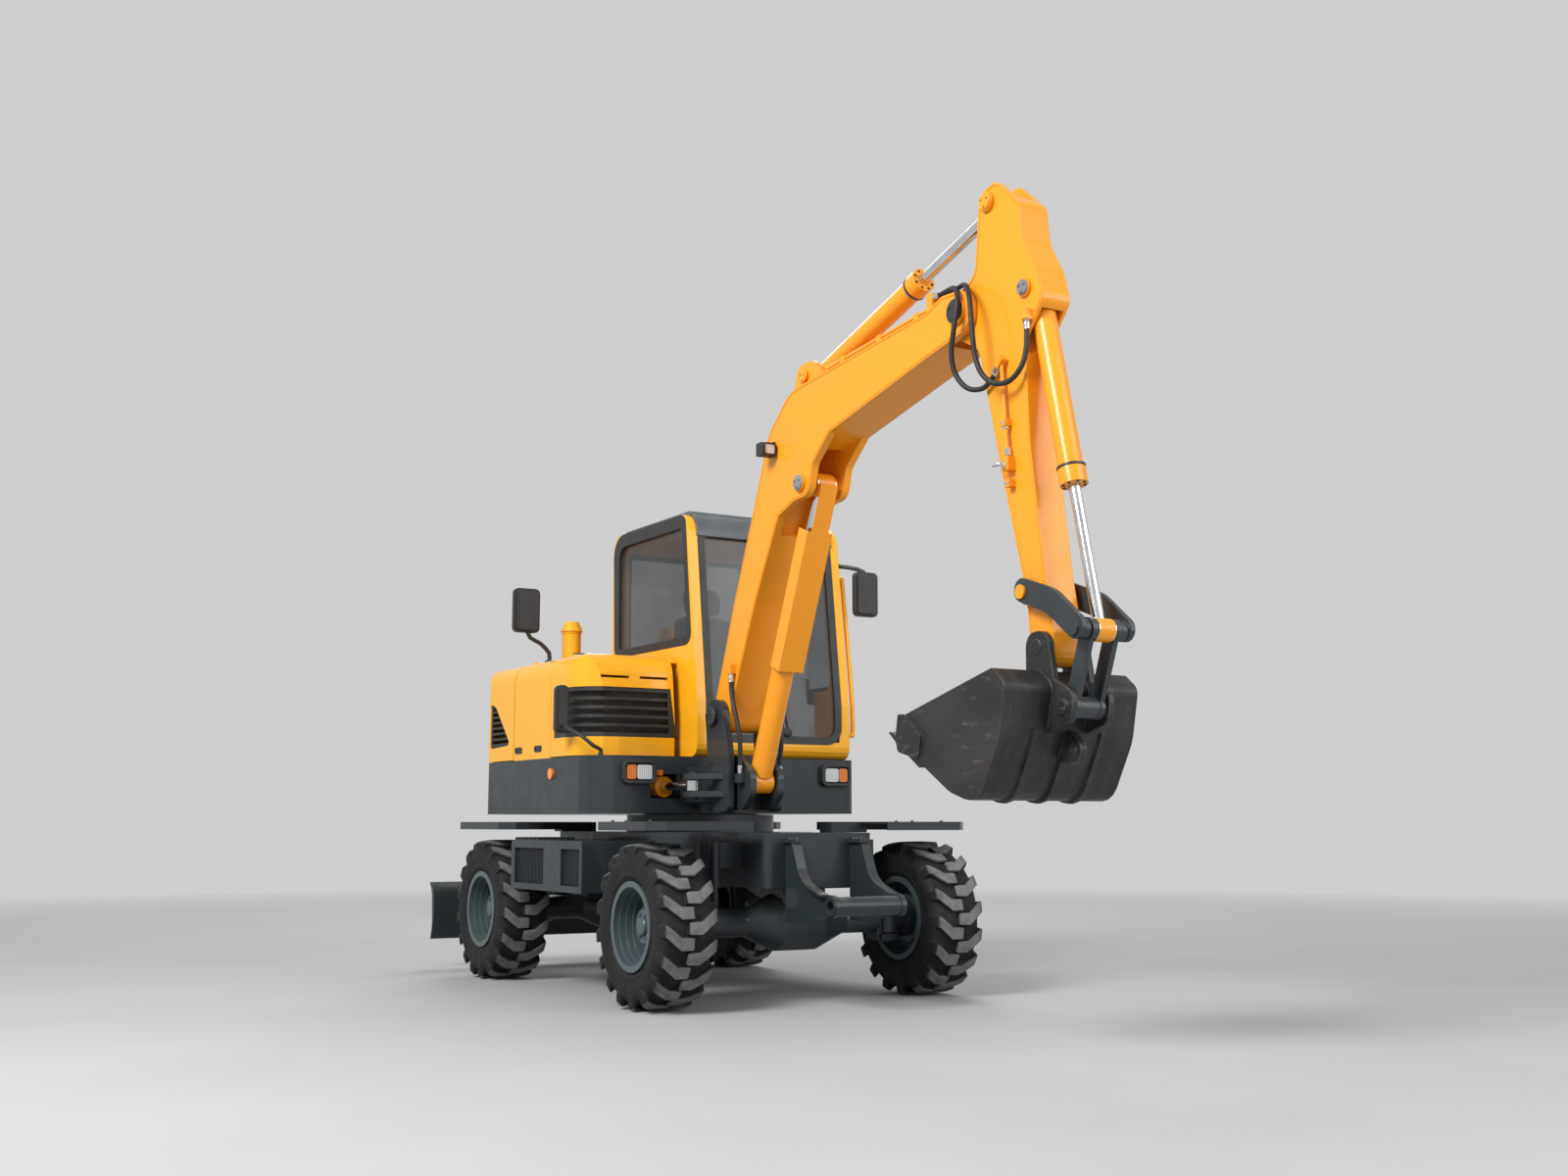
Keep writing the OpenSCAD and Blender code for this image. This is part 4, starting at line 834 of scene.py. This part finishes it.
def make_monitor():
    """Screen on a bent stalk in the cab's front right corner."""
    x, *middle = MONITOR_AT
    shape = Shape()
    shape.plate(rectangle(middle, MONITOR_W, MONITOR_H, MONITOR_R), on_end(x, 1), -MONITOR_HALF, MONITOR_HALF)
    shape.sweep([at(*p) for p in MONITOR_STALK], STALK_R, 10)
    shape.make("monitor", "black_trim", "upper", bevel=0.004)


# Hood
HOOD_RIGHT, HOOD_FRONT, HOOD_TOP, HOOD_CORNER = -0.88, 0.25, 1.885, 0.23
GRILLE_LOW, GRILLE_HIGH = 1.405, 1.695
# Radiator core: gap behind the grille, its two ends, steps round the corner, fins and thickness
CORE_GAP, CORE_REAR_X, CORE_INNER_Y, CORE_STEPS = 0.048, -0.125, -0.30, 16
FIN_PITCH, FIN_DEPTH, CORE_T = 0.006, 0.008, 0.01
FILLER_AT = (-0.42, -0.60, HOOD_TOP)
FILLER_CAP = [(0.062, 0), (0.062, 0.012), (0.05, 0.016), (0.05, 0.045), (0.04, 0.052), (0.01, 0.054)]
LATCHES, LATCH_W, LATCH_H, LATCH_R = ((-0.36, 1.36), (-0.66, 1.36)), 0.100, 0.036, 0.012
LATCH_RIM, LATCH_GAP, LATCH_RIM_TOP, LATCH_TOP, LATCH_SUNK = 0.006, 0.002, 0.006, 0.003, 0.002
STACK_X, STACK_Y, STACK_CLAMPS_Z = -0.64, -0.56, (1.90, 2.075)
STACK_CLAMP = [(0.058, 0), (0.062, 0.002), (0.062, 0.016), (0.058, 0.018)]


def make_radiator():
    """Finned core behind the grille, following the hood's round front corner."""
    r = HOOD_CORNER - CORE_GAP
    middle = Vector((HOOD_FRONT - HOOD_CORNER, HOOD_RIGHT + HOOD_CORNER))
    route = [Vector((CORE_REAR_X, HOOD_RIGHT + CORE_GAP)), Vector((middle.x, HOOD_RIGHT + CORE_GAP))]
    for k in range(1, CORE_STEPS + 1):
        a = math.pi / 2 * k / CORE_STEPS
        route.append(middle + r * Vector((math.sin(a), -math.cos(a))))
    route.append(Vector((HOOD_FRONT - CORE_GAP, CORE_INNER_Y)))
    fine = []
    for a, b in zip(route, route[1:]):
        count = max(1, round((b - a).length / FIN_PITCH))
        fine += [(a.lerp(b, k / count), Vector((a.y - b.y, b.x - a.x)).normalized()) for k in range(count)]
    rings = []
    for i, (p, inwards) in enumerate(fine):
        a = p + inwards * (FIN_DEPTH if i % 2 else 0.0)
        b = a + inwards * CORE_T
        rings.append([at(a.x, a.y, GRILLE_LOW), at(a.x, a.y, GRILLE_HIGH),
                      at(b.x, b.y, GRILLE_HIGH), at(b.x, b.y, GRILLE_LOW)])
    shape = Shape()
    shape.ring_strip(rings)
    core = casting("radiator", CORE_BROWN, coarse=240)
    shape.make("radiator", "engine", "upper", finish=core, smooth=False)


def make_hood_trim():
    """Filler cap and latches on the hood, and clamps round the exhaust stack."""
    fittings = Shape()
    fittings.lathe(FILLER_CAP, at(*FILLER_AT), UP)
    on_hood = on_side(HOOD_RIGHT, -1)
    for middle in LATCHES:
        outline = rectangle(middle, LATCH_W, LATCH_H, LATCH_R)
        fittings.band(outline, offset(outline, LATCH_RIM), on_hood, -LATCH_SUNK, LATCH_RIM_TOP)
        fittings.plate(offset(outline, LATCH_RIM + LATCH_GAP), on_hood, -LATCH_SUNK, LATCH_TOP)
    fittings.make("hood_fittings", "black_trim", "upper")
    stack = Shape()
    for z in STACK_CLAMPS_Z:
        stack.lathe(STACK_CLAMP, at(STACK_X, STACK_Y, z), UP)
    stack.make("stack_clamps", "hood_paint", "upper")


# Lamps and mirrors
SKIRT_FRONT, LAMP_LOW, LAMP_HIGH, LAMP_R = 0.43, 1.160, 1.258, 0.02
LAMP_PAIRS = ((-0.705, -0.535), (0.575, 0.743))
BEZEL_W, BEZEL_TOP, BEZEL_BACK = 0.016, 0.034, 0.006
BOOM_LAMP_X, BOOM_LAMP_OUT, BOOM_LAMP_Z = 1.436, 0.17, 2.857
BOOM_LAMP_W, BOOM_LAMP_H, BOOM_LAMP_R = 0.060, 0.054, 0.01
BOOM_RIM_W, BOOM_RIM_TOP, BOOM_GLASS_TOP = 0.006, 0.007, 0.004
# Inside a lamp's outline: a rim's inner edge and a plate's edge; and how deep thin pieces sit in a face
RIM_INSET, PLATE_INSET, SEATED = 0.002, 0.001, 0.001
# Mirrors: (middle, width, height)
MIRRORS = (((-0.54, -0.90, 2.19), 0.165, 0.265), ((0.12, -0.945, 1.56), 0.08, 0.27),
           ((0.412, 0.90, 2.30), 0.165, 0.27))
MIRROR_BACK, MIRROR_INSET, MIRROR_R, MIRROR_TOP = 0.018, 0.008, 0.03, 0.002


def make_lamp_trim():
    """Bezels round the lamp pairs, and the rims and glass of the lamps on the boom."""
    bezels = Shape()
    on_skirt = on_end(SKIRT_FRONT, 1)
    for low, high in LAMP_PAIRS:
        middle = ((low + high) / 2, (LAMP_LOW + LAMP_HIGH) / 2)
        outline = rectangle(middle, high - low, LAMP_HIGH - LAMP_LOW, LAMP_R)
        bezels.band(offset(outline, -BEZEL_W), offset(outline, RIM_INSET), on_skirt, 0, BEZEL_TOP)
        bezels.plate(offset(outline, PLATE_INSET), on_skirt, 0, BEZEL_BACK)
    bezels.make("lamp_bezels", "black_trim", "upper", bevel=0.003)
    glasses, rims = Shape(), Shape()
    on_lamp = on_end(BOOM_LAMP_X, 1)
    for side in (-1, 1):
        middle = (BOOM_Y + side * BOOM_LAMP_OUT, BOOM_LAMP_Z)
        outline = rectangle(middle, BOOM_LAMP_W, BOOM_LAMP_H, BOOM_LAMP_R)
        rims.band(offset(outline, -BOOM_RIM_W), offset(outline, RIM_INSET), on_lamp, -SEATED, BOOM_RIM_TOP)
        glasses.plate(offset(outline, PLATE_INSET), on_lamp, -SEATED, BOOM_GLASS_TOP)
    rims.make("boom_lamp_rims", "black_trim", "boom")
    glasses.make("boom_lamp_glass", "lamp", "boom")


def make_mirror_glass():
    mirrors = Shape()
    for (x, *middle), width, height in MIRRORS:
        outline = offset(rectangle(middle, width, height, MIRROR_R), MIRROR_INSET)
        mirrors.plate(outline, on_end(x - MIRROR_BACK, -1), -SEATED, MIRROR_TOP)
    mirrors.make("mirror_glass", "rod", "upper")


# Work equipment
PINS = [  # name, body, X, Z, half width where the cap sits, cap radius, slot
    ("foot", "swing_post", 0.830, 1.500, 0.180, 0.052, "links"),
    ("ram_head", "boom", 1.672, 2.640, 0.138, 0.040, "engine"),
    ("arm_ram_foot", "boom", 1.665, 3.200, 0.102, 0.034, "boom_paint"),
    ("tip", "boom", 3.010, 3.180, 0.138, 0.054, "black_trim"),
    ("arm_ram_head", "arm", 3.185, 3.640, 0.092, 0.038, "boom_paint"),
    ("bucket_ram_foot", "arm", 3.430, 3.180, 0.090, 0.034, "engine"),
]
# A pin's cap: (share of its radius, height)
CAP_TOP = 0.009
CAP = [(1, -0.002), (1, 0.006), (0.9, CAP_TOP), (0.45, CAP_TOP)]
CAP_BOLTS, CAP_BOLT_RING, CAP_BOLT_TURN, CAP_BOLT_SIZE = 3, 0.62, 0.5, 0.007
RAMS = [  # name, foot, head, gland from the foot, diameter, radius and width of the rod's eye
    ("boom", (1.045, 1.146), (1.672, 2.640), 0.960, 0.120, 0.060, 0.108),
    ("arm", (1.665, 3.200), (3.185, 3.640), 0.960, 0.108, 0.050, 0.092),
    ("bucket", (3.430, 3.180), (3.760, 1.690), 0.900, 0.104, 0.048, 0.088),
]
GLAND_BOLTS, GLAND_BOLT_SIZE, GLAND_BOLT_INSET = 8, 0.006, 0.006
# Collar behind a gland: (height above the barrel, place along it)
COLLAR, COLLAR_BACK = [(0.0005, 0), (0.009, 0.003), (0.009, 0.012), (0.0005, 0.015)], 0.085
# A rod's eye: bore's ring over its radius, width of its eased edge, paint on its round and on its faces
EYE_BORE, EYE_EDGE, EYE_ROUND_SKIN, EYE_FACE_SKIN = 0.62, 0.003, 0.0002, 0.0003


def make_pin_caps():
    for name, body, x, z, half, radius, slot in PINS:
        caps = Shape()
        profile = [(radius * share, height) for share, height in CAP]
        for side in (-1, 1):
            face = at(x, BOOM_Y + side * half, z)
            out = Vector((0, side, 0))
            caps.lathe(profile, face, out, 40)
            for a in angles(CAP_BOLTS):
                spot = round_axle(radius * CAP_BOLT_RING, side * CAP_TOP, a + CAP_BOLT_TURN)
                caps.bolt(face + spot, out, CAP_BOLT_SIZE)
        caps.make("caps_" + name, slot, body)


def make_ram_trim():
    """Gland bolts and a collar on the barrel, and the painted eye of the rod, on each large cylinder."""
    for name, foot, head, gland, diameter, eye_r, eye_w in RAMS:
        along = Vector((head[0] - foot[0], 0, head[1] - foot[1])).normalized()
        over = Vector((along.z, 0, -along.x))
        start = at(foot[0], BOOM_Y, foot[1])
        r = diameter / 2
        shape = Shape()
        for a in angles(GLAND_BOLTS):
            turn = a + math.pi / GLAND_BOLTS
            spoke = over * math.cos(turn) + Vector((0, math.sin(turn), 0))
            shape.bolt(start + along * gland + spoke * (r - GLAND_BOLT_INSET), along, GLAND_BOLT_SIZE)
        collar = [(r + proud, height) for proud, height in COLLAR]
        shape.lathe(collar, start + along * (gland - COLLAR_BACK), along, 40)
        shape.make(name + "_gland", "links", name + "_barrel")
        face = eye_w / 2 + EYE_FACE_SKIN
        rim = [(eye_r * EYE_BORE, face), (eye_r - EYE_EDGE, face),
               (eye_r + EYE_ROUND_SKIN, eye_w / 2 - EYE_EDGE)]
        across = [(radius, -y) for radius, y in rim] + rim[::-1]
        eye = Shape()
        eye.lathe(across, at(head[0], BOOM_Y, head[1]), (0, 1, 0), 48)
        eye.make(name + "_rod_eye", "boom_paint", name + "_rod")


SEAM_INSET, SEAM_R, SEAM_SIDES = 0.011, 0.0035, 6
SEAMS = (("boom", BOOM_HALF), ("arm", ARM_HALF))
SAME_POINT, SAME_PLANE = 1e-5, 1e-4


def enclosed(loop):
    """The signed area inside a loop, positive where it runs counter-clockwise."""
    return sum(a.cross(b) for a, b in zip(loop, loop[1:] + loop[:1])) / 2


def side_outline(node, y):
    """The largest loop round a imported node's flat side at y, counter-clockwise, as X-Z points."""
    work = bmesh.new()
    work.from_mesh(nodes[node].data)
    work.transform(nodes[node].matrix_world)
    bmesh.ops.remove_doubles(work, verts=work.verts, dist=SAME_POINT)
    flat = {f for f in work.faces if all(abs(v.co.y - y) < SAME_PLANE for v in f.verts)}
    links = {}
    for edge in work.edges:
        if sum(f in flat for f in edge.link_faces) == 1:
            for v, other in (edge.verts, reversed(edge.verts)):
                links.setdefault(v, []).append(other)
    loops = []
    while links:
        loop = [next(iter(links))]
        while loop[-1] in links:
            ahead = [v for v in links.pop(loop[-1]) if v in links]
            loop += ahead[:1]
        loops.append([Vector((v.co.x, v.co.z)) for v in loop])
    work.free()
    outline = max(loops, key=lambda loop: abs(enclosed(loop)))
    return outline if enclosed(outline) > 0 else outline[::-1]


def make_seams():
    """Weld beads inside the edges of the side plates of boom and arm."""
    for node, half in SEAMS:
        shape = Shape()
        for side in (-1, 1):
            y = BOOM_Y + side * half
            path = [Vector((p.x, y, p.y)) for p in offset(side_outline(node, y), SEAM_INSET)]
            shape.sweep(path + path[:1], SEAM_R, SEAM_SIDES)
        shape.make(node + "_seams", "boom_paint", node)


# Fittings on the arm's right side: pipe clamps as (X, Z) from the top, and how far pieces stand off the side
ARM_SIDE = BOOM_Y - ARM_HALF
CLAMPS = ((3.304, 2.617), (3.319, 2.452), (3.324, 2.350))
CLAMP_TOP, CLAMP_BOLT_SPREAD, CLAMP_BOLT_SIZE = 0.036, 0.010, 0.006
PIPE_OUT, PIPE_NUT, PIPE_NUT_SHARES = 0.021, [(0.014, 0), (0.014, 0.016)], (0.12, 0.22, 0.82)
VALVE_X, VALVE_Z, VALVE_OUT = 3.319, 2.428, 0.043
VALVE_STEM = [(0.016, 0), (0.016, 0.008), (0.009, 0.010), (0.009, 0.020)]
VALVE_LEVER, VALVE_LEVER_R = [(0, -0.016, 0), (-0.03, -0.018, 0.004), (-0.055, -0.018, 0.004)], 0.006


def make_arm_fittings():
    """Bolts of the pipe clamps, and the nuts and stem of the shut-off valve on the arm."""
    shape = Shape()
    out = Vector((0, -1, 0))
    for x, z in CLAMPS:
        for side in (-1, 1):
            shape.bolt(at(x + side * CLAMP_BOLT_SPREAD, ARM_SIDE - CLAMP_TOP, z), out, CLAMP_BOLT_SIZE)
    upper, lower = (at(x, ARM_SIDE - PIPE_OUT, z) for x, z in CLAMPS[:2])
    for share in PIPE_NUT_SHARES:
        shape.lathe(PIPE_NUT, lower.lerp(upper, share), upper - lower, 6)
    valve = at(VALVE_X, ARM_SIDE - VALVE_OUT, VALVE_Z)
    shape.lathe(VALVE_STEM, valve, out, 20)
    shape.sweep([valve + Vector(p) for p in VALVE_LEVER], VALVE_LEVER_R, 8)
    shape.make("arm_fittings", "rod", "arm")


# Undercarriage trim
STEP_FACE, STEP_LOW, STEP_HIGH = 0.940, 0.590, 0.790
STEP_WINDOWS = ((-0.540, -0.105), (0.135, 0.390))
WIRE_PITCH, WIRE_T, WIRE_BACK = 0.020, 0.004, 0.018
# Rows of bolts on both sides: (X of each, Y, Z, size)
BOLT_ROWS = (((1.355, 1.39, 1.425), 0.195, 0.848, 0.011), ((0.72, 0.88, 1.16), 0.9, 0.938, 0.009))


def make_step_mesh():
    """Wire mesh behind the openings of the step boxes: upright wires in front of level ones."""
    shape = Shape()
    half = WIRE_T / 2
    for side in (-1, 1):
        back, front = sorted(side * (STEP_FACE - WIRE_BACK + depth) for depth in (0, WIRE_T))
        for x0, x1 in STEP_WINDOWS:
            for k in range(1, round((x1 - x0) / WIRE_PITCH)):
                x = x0 + WIRE_PITCH * k
                shape.block((x - half, back, STEP_LOW), (x + half, front, STEP_HIGH))
            for k in range(1, round((STEP_HIGH - STEP_LOW) / WIRE_PITCH)):
                z = STEP_LOW + WIRE_PITCH * k
                shape.block((x0, back - side * WIRE_T, z - half), (x1, front - side * WIRE_T, z + half))
    shape.make("step_mesh", "dark_frame", "undercarriage", smooth=False)


def make_chassis_bolts():
    bolts = Shape()
    for side in (-1, 1):
        for row, y, z, size in BOLT_ROWS:
            for x in row:
                bolts.bolt(at(x, side * y, z), UP, size)
    bolts.make("frame_bolts", "links", "undercarriage")


def dress():
    make_hoses()
    make_wheels()
    make_seat()
    make_right_gasket()
    make_visor()
    make_gaskets()
    make_wiper()
    make_monitor()
    make_radiator()
    make_hood_trim()
    make_lamp_trim()
    make_mirror_glass()
    make_pin_caps()
    make_ram_trim()
    make_seams()
    make_arm_fittings()
    make_step_mesh()
    make_chassis_bolts()


dress()


# Light and floor
FLOOR_HALF, FADE_START, FADE_END = 60, 5.0, 16.0
DARK_FLOOR, PALE_FLOOR = (0.40, 0.40, 0.40), (0.43, 0.43, 0.43)
BACKDROP, SKY, SKY_STRENGTH = (0.62, 0.62, 0.62, 1), (0.92, 0.96, 1.0, 1), 0.55
LIGHT_AIM = (0, 0, 1.4)
# Lamps: (name, place, size, watts)
LAMPS = (("key", (3.5, -8.5, 8.0), 4.0, 1300), ("fill", (9.5, 3.5, 5.0), 6.0, 450),
         ("back", (-8.0, 4.0, 7.0), 5.0, 450))


def make_floor():
    """A plain pale floor that fades out, into a backdrop of about the same tone."""
    mesh = bpy.data.meshes.new("floor")
    corners = [(x * FLOOR_HALF, y * FLOOR_HALF, 0) for x, y in ((-1, -1), (1, -1), (1, 1), (-1, 1))]
    mesh.from_pydata(corners, [], [(0, 1, 2, 3)])
    floor = put("floor", mesh)
    f = Finish("floor", Roughness=0.8, Specular_IOR_Level=0.05)
    f.set("Base Color", f.mix(f.span(f.noise(0.6, 4), 0.3, 0.7), DARK_FLOOR, PALE_FLOOR))
    far = f.node("ShaderNodeVectorMath", {0: f.where}, operation="LENGTH").outputs["Value"]
    f.set("Alpha", f.span(far, FADE_START, FADE_END, 1.0, 0.0))
    mesh.materials.append(f.material)


def make_world():
    """Soft light from all round, and a plain backdrop where the camera, glass or gloss shows it."""
    world = bpy.data.worlds.new("studio")
    scene.world = world
    world.use_nodes = True
    world.node_tree.nodes.clear()
    node, link = world.node_tree.nodes.new, world.node_tree.links.new
    rays = node("ShaderNodeLightPath")
    seen = rays.outputs["Is Camera Ray"]
    for kind in ("Is Glossy Ray", "Is Transmission Ray"):
        either = node("ShaderNodeMath")
        either.operation = "MAXIMUM"
        link(seen, either.inputs[0])
        link(rays.outputs[kind], either.inputs[1])
        seen = either.outputs[0]
    both = node("ShaderNodeMixShader")
    link(seen, both.inputs[0])
    for i, (colour, strength) in enumerate(((SKY, SKY_STRENGTH), (BACKDROP, 1.0))):
        glow = node("ShaderNodeBackground")
        glow.inputs[0].default_value = colour
        glow.inputs[1].default_value = strength
        link(glow.outputs[0], both.inputs[i + 1])
    link(both.outputs[0], node("ShaderNodeOutputWorld").inputs[0])


def make_lights():
    for name, place, size, watts in LAMPS:
        lamp = bpy.data.lights.new(name, "AREA")
        lamp.size = size
        lamp.energy = watts
        aim = Vector(LIGHT_AIM) - Vector(place)
        put(name, lamp, place, aim.to_track_quat("-Z", "Y").to_euler())


make_floor()
make_world()
make_lights()

scene.view_settings.view_transform = "Standard"
